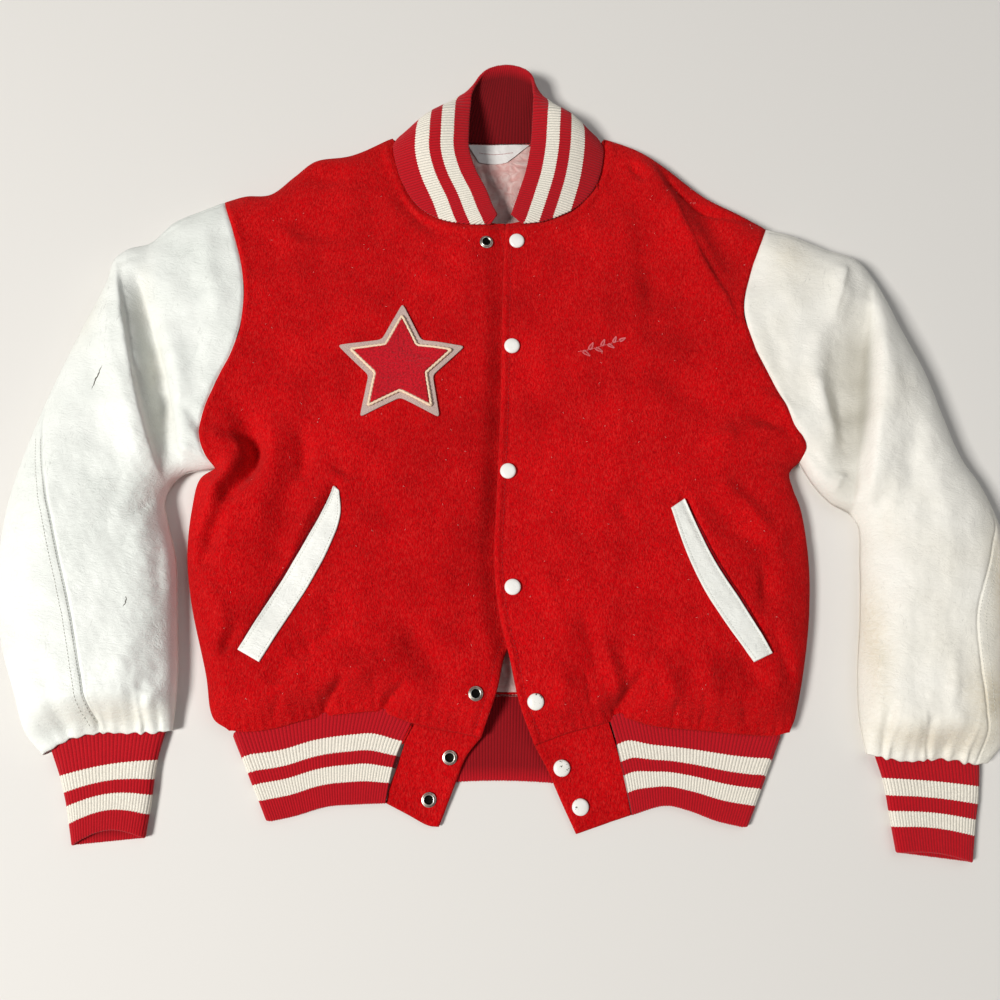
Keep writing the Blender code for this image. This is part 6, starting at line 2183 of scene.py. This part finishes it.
@dataclass
class NeckLabel:
    """A plain woven label under the back neck seam, with one thin woven line and no words."""

    lining: Surface
    top: tuple[float, float, float] = (-37.0, 27.0, 311.5)
    end: tuple[float, float, float] = (-25.0, 4.0, 291.0)
    line: tuple[tuple[float, float], ...] = ((-25, 302), (-7, 300), (10, 302))
    wall: float = 0.8
    lay: float = 1.3
    cut: Cut = Cut(0.062, 0.021, 0.00094)

    def build(self) -> None:
        """Makes the label and the line woven in it."""
        down = graded(self.top[2] - self.end[2], 1.2)[:, None]
        over = graded(self.top[1] - self.top[0], 1.5)[None]
        left = self.top[0] + (self.end[0] - self.top[0]) * down
        right = self.top[1] + (self.end[1] - self.top[1]) * down
        x = left + (right - left) * over
        y = self.top[2] + (self.end[2] - self.top[2]) * down + np.zeros_like(x)
        y -= 2.0 * np.sin(math.pi * over) * down
        plan = np.stack([x, y], axis=-1)
        heights = self.lining.heights(plan) + self.lay + 0.4 * np.sin(x * 0.13)
        obj, surface = walled_cloth("satin_neck_label", raised(plan, heights), self.wall)
        row = StitchRow("woven_line_neck_label", pitch=1.5, length=1.2, radius=0.35, sunk=0.2)
        woven = row.sew([Course.through(self.line)], surface)
        finish_piece(woven, WOOL_THREAD)
        finish_piece(obj, LABEL_SATIN, ["neck_label"], self.cut)


@dataclass
class StarPatch:
    """The chest patch: a plain star of chenille on felt, edged with a twisted cord."""

    body: WoolBody
    x: float = -98.0
    y: float = 61.0
    points: int = 5
    radius: float = 64.0
    waist: float = 0.5
    border: float = 8.0
    felt: float = 1.6
    pad: float = 2.6
    cord: float = 1.35
    cord_gap: float = 2.6
    cord_twist: float = 4.2
    lay: float = 0.5
    felt_rings: int = 14
    pad_rings: int = 26
    tuft_pitch: float = 4.3
    tuft_rise: float = 0.3
    felt_cut: Cut = Cut(0.122, 0.116, 0.0072)
    pad_cut: Cut = Cut(0.092, 0.088, 0.0042)

    def border_line(self, radius: float, count: int = 240) -> Points:
        """The star's edge at a radius, its corners a little softened, ending where it starts."""
        angles = math.pi / 2 - np.arange(2 * self.points + 1) * math.pi / self.points
        reach = np.where(np.arange(2 * self.points + 1) % 2 == 0, radius, radius * self.waist)
        corners = np.stack([reach * np.cos(angles), reach * np.sin(angles)], axis=-1)
        line = Course(corners).at(np.linspace(0, 1, count + 1))[:-1]
        for _ in range(5):
            line = (np.roll(line, 1, axis=0) + line * 2 + np.roll(line, -1, axis=0)) / 4
        return np.vstack([line, line[:1]]) + (self.x, self.y)

    def disc(self, radius: float, rings: int) -> Points:
        """Rings of places from the star's middle out to its edge."""
        edge = self.border_line(radius)
        share = np.concatenate([np.linspace(0, 0.94, rings), [0.965, 0.985, 1.0]])
        middle = np.array((self.x, self.y))
        return middle + (edge - middle)[None] * share[:, None, None]

    def build(self) -> None:
        """Makes the felt, the chenille and the cord between them."""
        carrier = self.body.surfaces["front_right"]
        plan = self.disc(self.radius, self.felt_rings)
        heights = carrier.heights(plan) + self.lay + self.felt
        heights[0] = heights[0].mean()
        felt, felt_surface = walled_cloth("felt_patch", raised(plan, heights), self.felt, wrap=Wrap.WELDED)
        inner = self.radius - 2 * self.border
        plan = self.disc(inner, self.pad_rings)
        heights = felt_surface.heights(plan) + self.lay + self.pad
        share = np.linspace(0, 1, plan.shape[0])[:, None]
        heights += self.tuft_rise * crumple(plan, self.tuft_pitch, 1.0) - bell(1 - share, 0.035)
        heights[0] = heights[0].mean()
        points = raised(plan, heights)
        points[:, -1] = points[:, 0]
        pad, _ = walled_cloth("chenille_patch", points, self.pad, wrap=Wrap.WELDED)
        line = self.border_line(inner + self.cord_gap, 420)
        height = felt_surface.heights(line[:, None])[:, 0] + self.cord * 0.9
        height[-1] = height[0]
        radii = np.full(len(line), self.cord)
        cord = make_tube("cord_patch", raised(line, height), radii, twist=self.cord_twist)
        finish_piece(cord, PATCH_CORD)
        finish_piece(pad, CHENILLE, ["patch_chenille"], self.pad_cut)
        finish_piece(felt, PATCH_FELT, ["patch_felt"], self.felt_cut)


@dataclass
class Sprig:
    """A small leaf sprig in satin stitch on the left chest."""

    body: WoolBody
    x: float = 91.0
    y: float = 80.0
    stem: tuple[tuple[float, float], ...] = ((-20, -5), (-7, -2.5), (6, 1.5), (20, 6))
    leaf_shares: tuple[float, ...] = (0.12, 0.27, 0.42, 0.57, 0.72, 0.86)
    leaf: float = 8.5
    leaf_half: float = 2.7

    def build(self) -> None:
        """Sews the stem and its leaves."""
        carrier = self.body.surfaces["front_left"]
        stem = Course.through([(self.x + x, self.y + y) for x, y in self.stem])
        courses = [stem]
        for number, share in enumerate(self.leaf_shares):
            root = stem.at([share, share + 0.02])
            heading = math.atan2(*(root[1] - root[0])[::-1])
            lean = heading + (0.85 if number % 2 else -0.85)
            size = self.leaf * (1.05 - 0.3 * share)
            courses += self.leaf_stitches(root[0], lean, size)
        courses += self.leaf_stitches(stem.line[-1], 0.45, self.leaf * 0.8)
        row = StitchRow("stitches_leaf_sprig", pitch=2.2, length=2.4, radius=0.36, sunk=0.15)
        finish_piece(row.sew(courses, carrier), SPRIG_THREAD)

    def leaf_stitches(self, root: Points, lean: float, size: float) -> list[Course]:
        """Slanted stitches that fill one leaf."""
        ahead = np.array((math.cos(lean), math.sin(lean)))
        across = np.array((-ahead[1], ahead[0]))
        found = []
        for share in np.linspace(0.12, 0.95, 9):
            half = self.leaf_half * math.sin(math.pi * share ** 0.8) * size / self.leaf
            middle = root + ahead * size * share
            for turn in (1, -1):
                found.append(Course(np.array([middle, middle + turn * across * half - ahead * half * 0.5])))
        return found


class SnapStop(NamedTuple):
    """Where a snap sits, and on which piece."""

    x: float
    y: float
    carrier: str


@dataclass
class SnapRow:
    """The snaps: enamelled caps down the closing front, open sockets on the other."""

    body: WoolBody
    caps: tuple[SnapStop, ...]
    sockets: tuple[SnapStop, ...]
    cap_outline: tuple[tuple[float, float], ...] = (
        (0.0, 0.0), (6.6, 0.0), (7.2, 0.25), (7.45, 0.8), (7.3, 1.45), (6.75, 2.0), (5.6, 2.45), (4.0, 2.8),
        (2.0, 3.0), (0.0, 3.05))
    socket_outline: tuple[tuple[float, float], ...] = (
        (0.0, 0.0), (6.1, 0.0), (6.6, 0.35), (6.55, 0.85), (6.1, 1.1), (5.7, 1.05), (5.45, 1.35), (5.3, 1.9),
        (4.8, 2.2), (4.1, 2.1), (3.7, 1.6), (3.4, 0.95), (2.6, 0.8), (0.0, 0.75))
    steps: int = 40
    gap: float = 0.25
    well: float = 3.9

    def build(self) -> None:
        """Makes every snap and sets it on its cloth."""
        for number, stop in enumerate(self.caps, 1):
            obj = self.turned(f"enamel_snap_cap_{number}", self.cap_outline, stop, 7.4)
            finish = ENAMEL_CHIPPED if number >= 5 else ENAMEL
            finish_piece(obj, finish, [f"snap_cap_{number}"])
        for number, stop in enumerate(self.sockets, 1):
            obj = self.turned(f"nickel_snap_socket_{number}", self.socket_outline, stop, 6.6)
            finish_piece(obj, NICKEL, [f"snap_socket_{number}"])
            # painted shade: the upward faces in the socket's well take a near-black finish
            obj.data.materials.append(SOCKET_WELL_SHADE.material())
            middle = Vector((stop.x, stop.y)) * MM
            for polygon in obj.data.polygons:
                if (polygon.center.xy - middle).length < self.well * MM and polygon.normal.z > 0:
                    polygon.material_index = 1

    def turned(
        self, name: str, outline: Sequence[tuple[float, float]], stop: SnapStop, radius: float,
    ) -> Object:
        """Turns a snap from its outline and seats it square on the cloth.

        Args:
            name: The piece's name.
            outline: Radius and height from the middle of the base to the middle of the top.
            stop: Where it sits.
            radius: Its widest radius.

        Returns:
            The snap, in its place.
        """
        bm = bmesh.new()
        verts = [bm.verts.new((r * MM, 0.0, z * MM)) for r, z in outline]
        edges = [bm.edges.new(pair) for pair in zip(verts, verts[1:])]
        bmesh.ops.spin(bm, geom=verts + edges, cent=(0, 0, 0), axis=(0, 0, 1), angle=2 * math.pi,
                       steps=self.steps, use_merge=True)
        bmesh.ops.remove_doubles(bm, verts=bm.verts, dist=1e-6)
        bmesh.ops.recalc_face_normals(bm, faces=bm.faces)
        surface = self.body.surfaces[stop.carrier]
        base, normal = self.seat(surface, stop, radius)
        turn = Vector((0, 0, 1)).rotation_difference(normal).to_matrix().to_4x4()
        bmesh.ops.transform(bm, verts=bm.verts, matrix=Matrix.Translation(base) @ turn)
        return placed(name, bm)

    def seat(self, surface: Surface, stop: SnapStop, radius: float) -> tuple[Vector, Vector]:
        """The base and the direction of a snap that lies just clear of the cloth all round."""
        ring = [(radius * math.cos(turn), radius * math.sin(turn)) for turn in np.arange(12) * math.pi / 6]
        heights, normal = [], Vector()
        for x, y in [(0.0, 0.0)] + ring:
            hit = surface.under(stop.x + x, stop.y + y)
            if hit is not None:
                heights.append((x, y, hit[0]))
                normal += hit[1]
        normal.normalize()
        base = sorted(z + (x * normal.x + y * normal.y) / normal.z for x, y, z in heights)
        height = base[len(base) * 3 // 4] + self.gap
        return Vector((stop.x, stop.y, height)) * MM, normal


@dataclass
class Oddments:
    """What years of wear leave: lint on the wool and cracks in the leather."""

    body: WoolBody
    sleeves: dict[Side, LeatherSleeve]
    fibres: int = 150
    seed: int = 11

    def build(self) -> None:
        """Makes all of them."""
        self.lint()
        for number, crack in enumerate(CRACKS, 1):
            self.crack(number, crack)

    def lint(self) -> None:
        """Scatters short pale fibres over the fronts."""
        rng = np.random.default_rng(self.seed)
        for side in Side:
            courses = []
            for _ in range(self.fibres // 2):
                x, y = rng.uniform(20, 250) * (1 if side is Side.LEFT else -1), rng.uniform(-265, 260)
                turn, reach = rng.uniform(0, math.pi), rng.uniform(0.8, 2.6)
                step = np.array((math.cos(turn), math.sin(turn))) * reach
                courses.append(Course(np.array([(x, y), (x, y) + step])))
            row = StitchRow("lint_" + side.value, pitch=9.0, length=2.2, radius=0.1, sunk=-0.1)
            obj = row.sew(courses, self.body.surfaces["front_" + side.value])
            finish_piece(obj, COTTON_LINT)

    def crack(self, number: int, crack: Fold) -> None:
        """Opens one crack in the leather: a thin tapered line of bare split."""
        course = Course.through(crack.stops, 14)
        shares = np.linspace(0, 1, 40)
        line = course.at(shares)
        line[:, 0] += ragged(shares * 16, number, 0.5)
        surface = self.sleeves[Side.RIGHT].surface
        height = surface.heights(line[:, None])[:, 0] + 0.03
        width = crack.left * np.sin(math.pi * shares.clip(0.02, 0.98)) ** 0.6
        width = np.maximum(width * (1 + ragged(shares * 30, 2.0, 0.35)), 0.05)
        obj = make_tube(f"crack_sleeve_right_{number}", raised(line, height), width, 6)
        finish_piece(obj, CRACK)


COLLAR_STOPS = (
    CollarStop(-12, 210, 0, -7, 217, 30, 1), CollarStop(-36, 210, 0, -8, 221, 30.2, 1.5),
    CollarStop(-61, 216, 0, -11, 228, 30.5, 2), CollarStop(-85, 233, 0, -17, 245, 31.2, 3),
    CollarStop(-102, 261, 0, -28, 268, 32.3, 5), CollarStop(-110, 286, 0, -34, 290, 33, 8),
    CollarStop(-112, 303, 0, -34, 311, 33, 11), CollarStop(-102, 318.5, 12, -33, 336, 32, 12),
    CollarStop(-84, 318, 1, -31, 359, 31, 9), CollarStop(-46, 316, 1, -19, 382, 29, 3),
    CollarStop(-3, 315, 1, 6, 389.5, 27, 0), CollarStop(40, 316, 1, 28, 379, 29, 3),
    CollarStop(75, 317, 1, 31, 356, 31, 9), CollarStop(91, 318.5, 12, 29.5, 334, 31.5, 12),
    CollarStop(101, 302, 0, 28, 309, 32.3, 11), CollarStop(101, 286, 0, 26.5, 291, 33, 8),
    CollarStop(93, 256, 0, 22, 265, 32.3, 5), CollarStop(74, 231, 0, 16, 244, 32, 3),
    CollarStop(50, 217, 0, 11, 227, 31.3, 2), CollarStop(32, 211, 0, 9, 220, 31.1, 1.5),
    CollarStop(17, 210, 0, 8, 217, 31, 1),
)
CUFF_CUTS = {Side.RIGHT: Cut(0.205, 0.079, held=Held.FOLDED), Side.LEFT: Cut(0.19, 0.081, held=Held.FOLDED)}
CUFF_SAGS = {Side.RIGHT: 10.0, Side.LEFT: 4.0}

CAPS = (
    SnapStop(13, 192, "front_left"), SnapStop(8, 82, "front_left"), SnapStop(4, -42, "front_left"),
    SnapStop(8, -151, "front_left"), SnapStop(28, -253, "front_left"), SnapStop(51, -310, "tab_left"),
    SnapStop(67, -343, "tab_left"),
)
SOCKETS = (
    SnapStop(-17, 191, "front_right"), SnapStop(-25, -246, "front_right"), SnapStop(-48, -301, "tab_right"),
    SnapStop(-66, -337, "tab_right"),
)


@dataclass
class Studio:
    """The floor, the light and the camera."""

    camera_place: tuple[float, float, float] = (-0.0035, -0.2745, 0.8906)
    camera_tilt: float = 13.25
    lens: float = 34.67
    floor_tone: str = "#DEDBD6"
    floor_size: float = 8.0

    def build(self) -> None:
        """Makes all of it."""
        self.floor()
        self.light("window_light", (-2.6, -1.2, 3.4), 1.1, 208.0, (1.0, 0.985, 0.96))
        self.light("ceiling_light", (1.2, 0.6, 2.3), 2.0, 13.0, (0.97, 0.985, 1.0))
        self.world()
        self.camera()

    def floor(self) -> None:
        """A plain pale floor."""
        bm = bmesh.new()
        bmesh.ops.create_grid(bm, x_segments=1, y_segments=1, size=self.floor_size / 2)
        bmesh.ops.translate(bm, verts=bm.verts, vec=(0, 0, -0.0004))
        obj = placed("studio_floor", bm)
        obj.data.materials.append(Finish("matt_paper_floor", self.floor_tone, 0.85).material())

    def light(
        self, name: str, place: tuple[float, float, float], size: float, power: float,
        colour: tuple[float, float, float],
    ) -> None:
        """A soft square light that faces the jacket."""
        lamp = bpy.data.lights.new(name, "AREA")
        lamp.size, lamp.energy, lamp.color = size, power, colour
        obj = bpy.data.objects.new(name, lamp)
        obj.location = place
        obj.rotation_euler = (-Vector(place)).to_track_quat("-Z", "Y").to_euler()
        bpy.context.scene.collection.objects.link(obj)

    def world(self) -> None:
        """Even pale light from all round."""
        world = bpy.data.worlds.new("studio_world")
        world.use_nodes = True
        back = world.node_tree.nodes["Background"]
        back.inputs["Color"].default_value = (0.95, 0.97, 1.0, 1.0)
        back.inputs["Strength"].default_value = 0.12
        bpy.context.scene.world = world
        bpy.context.scene.view_settings.view_transform = "Standard"

    def camera(self) -> None:
        """The camera, above the jacket and a little in front of it."""
        lens = bpy.data.cameras.new("main_camera")
        lens.sensor_width, lens.lens = 36.0, self.lens
        obj = bpy.data.objects.new("main_camera", lens)
        obj.location = self.camera_place
        obj.rotation_euler = (math.radians(self.camera_tilt), 0.0, 0.0)
        bpy.context.scene.collection.objects.link(obj)
        bpy.context.scene.camera = obj


def main() -> None:
    """Builds the finished jacket over its frame, sub-assembly by sub-assembly."""
    logging.basicConfig(level=logging.INFO, format="%(name)s: %(message)s")
    Studio().build()
    body = WoolBody()
    body.build()
    LOG.info("wool body: %d pieces", len(body.surfaces))
    sleeves = {
        Side.RIGHT: LeatherSleeve(
            Side.RIGHT,
            ((0, 0.03), (0.44, 0.03), (0.52, 0.14), (0.64, 0.33), (0.8, 0.48), (1, 0.5)),
            Cut(0.19, 0.62, 0.064), Cut(0.25, 0.66, 0.105), soiling=24.0),
        Side.LEFT: LeatherSleeve(
            Side.LEFT,
            ((0, 0.03), (0.6, 0.03), (0.66, 0.14), (0.76, 0.29), (0.9, 0.24), (1, 0.12)),
            Cut(0.20, 0.62, 0.069), Cut(0.20, 0.66, 0.088)),
    }
    for side, sleeve in sleeves.items():
        sleeve.build()
        LOG.info("%s sleeve: two pieces of leather", side.value)
    for side in Side:
        RibCuff(side, CUFF_CUTS[side], sag=CUFF_SAGS[side]).build()
    LOG.info("two cuffs")
    RibWaistband().build()
    LOG.info("waistband")
    RibCollar(body, COLLAR_STOPS).build()
    LOG.info("collar")
    for side in Side:
        PocketWelt(side, body, Cut(0.022, 0.165)).build()
    LOG.info("two pocket welts")
    neck_cut, hem_cut = Cut(0.12, 0.115, 0.0085), Cut(0.084, 0.056)
    neck = Lining("lining_neck", ((-62, 310.5), (56, 310.5)), ((-14, 196), (16, 196)), neck_cut).build()
    Lining("lining_hem", ((-30, -190), (44, -190)), ((-34, -244), (48, -244)), hem_cut).build()
    NeckLabel(neck).build()
    LOG.info("lining and label")
    StarPatch(body).build()
    Sprig(body).build()
    SnapRow(body, CAPS, SOCKETS).build()
    LOG.info("star patch, leaf sprig and snaps")
    Oddments(body, sleeves).build()
    LOG.info("lint and cracks")


if __name__ == "__main__":
    main()
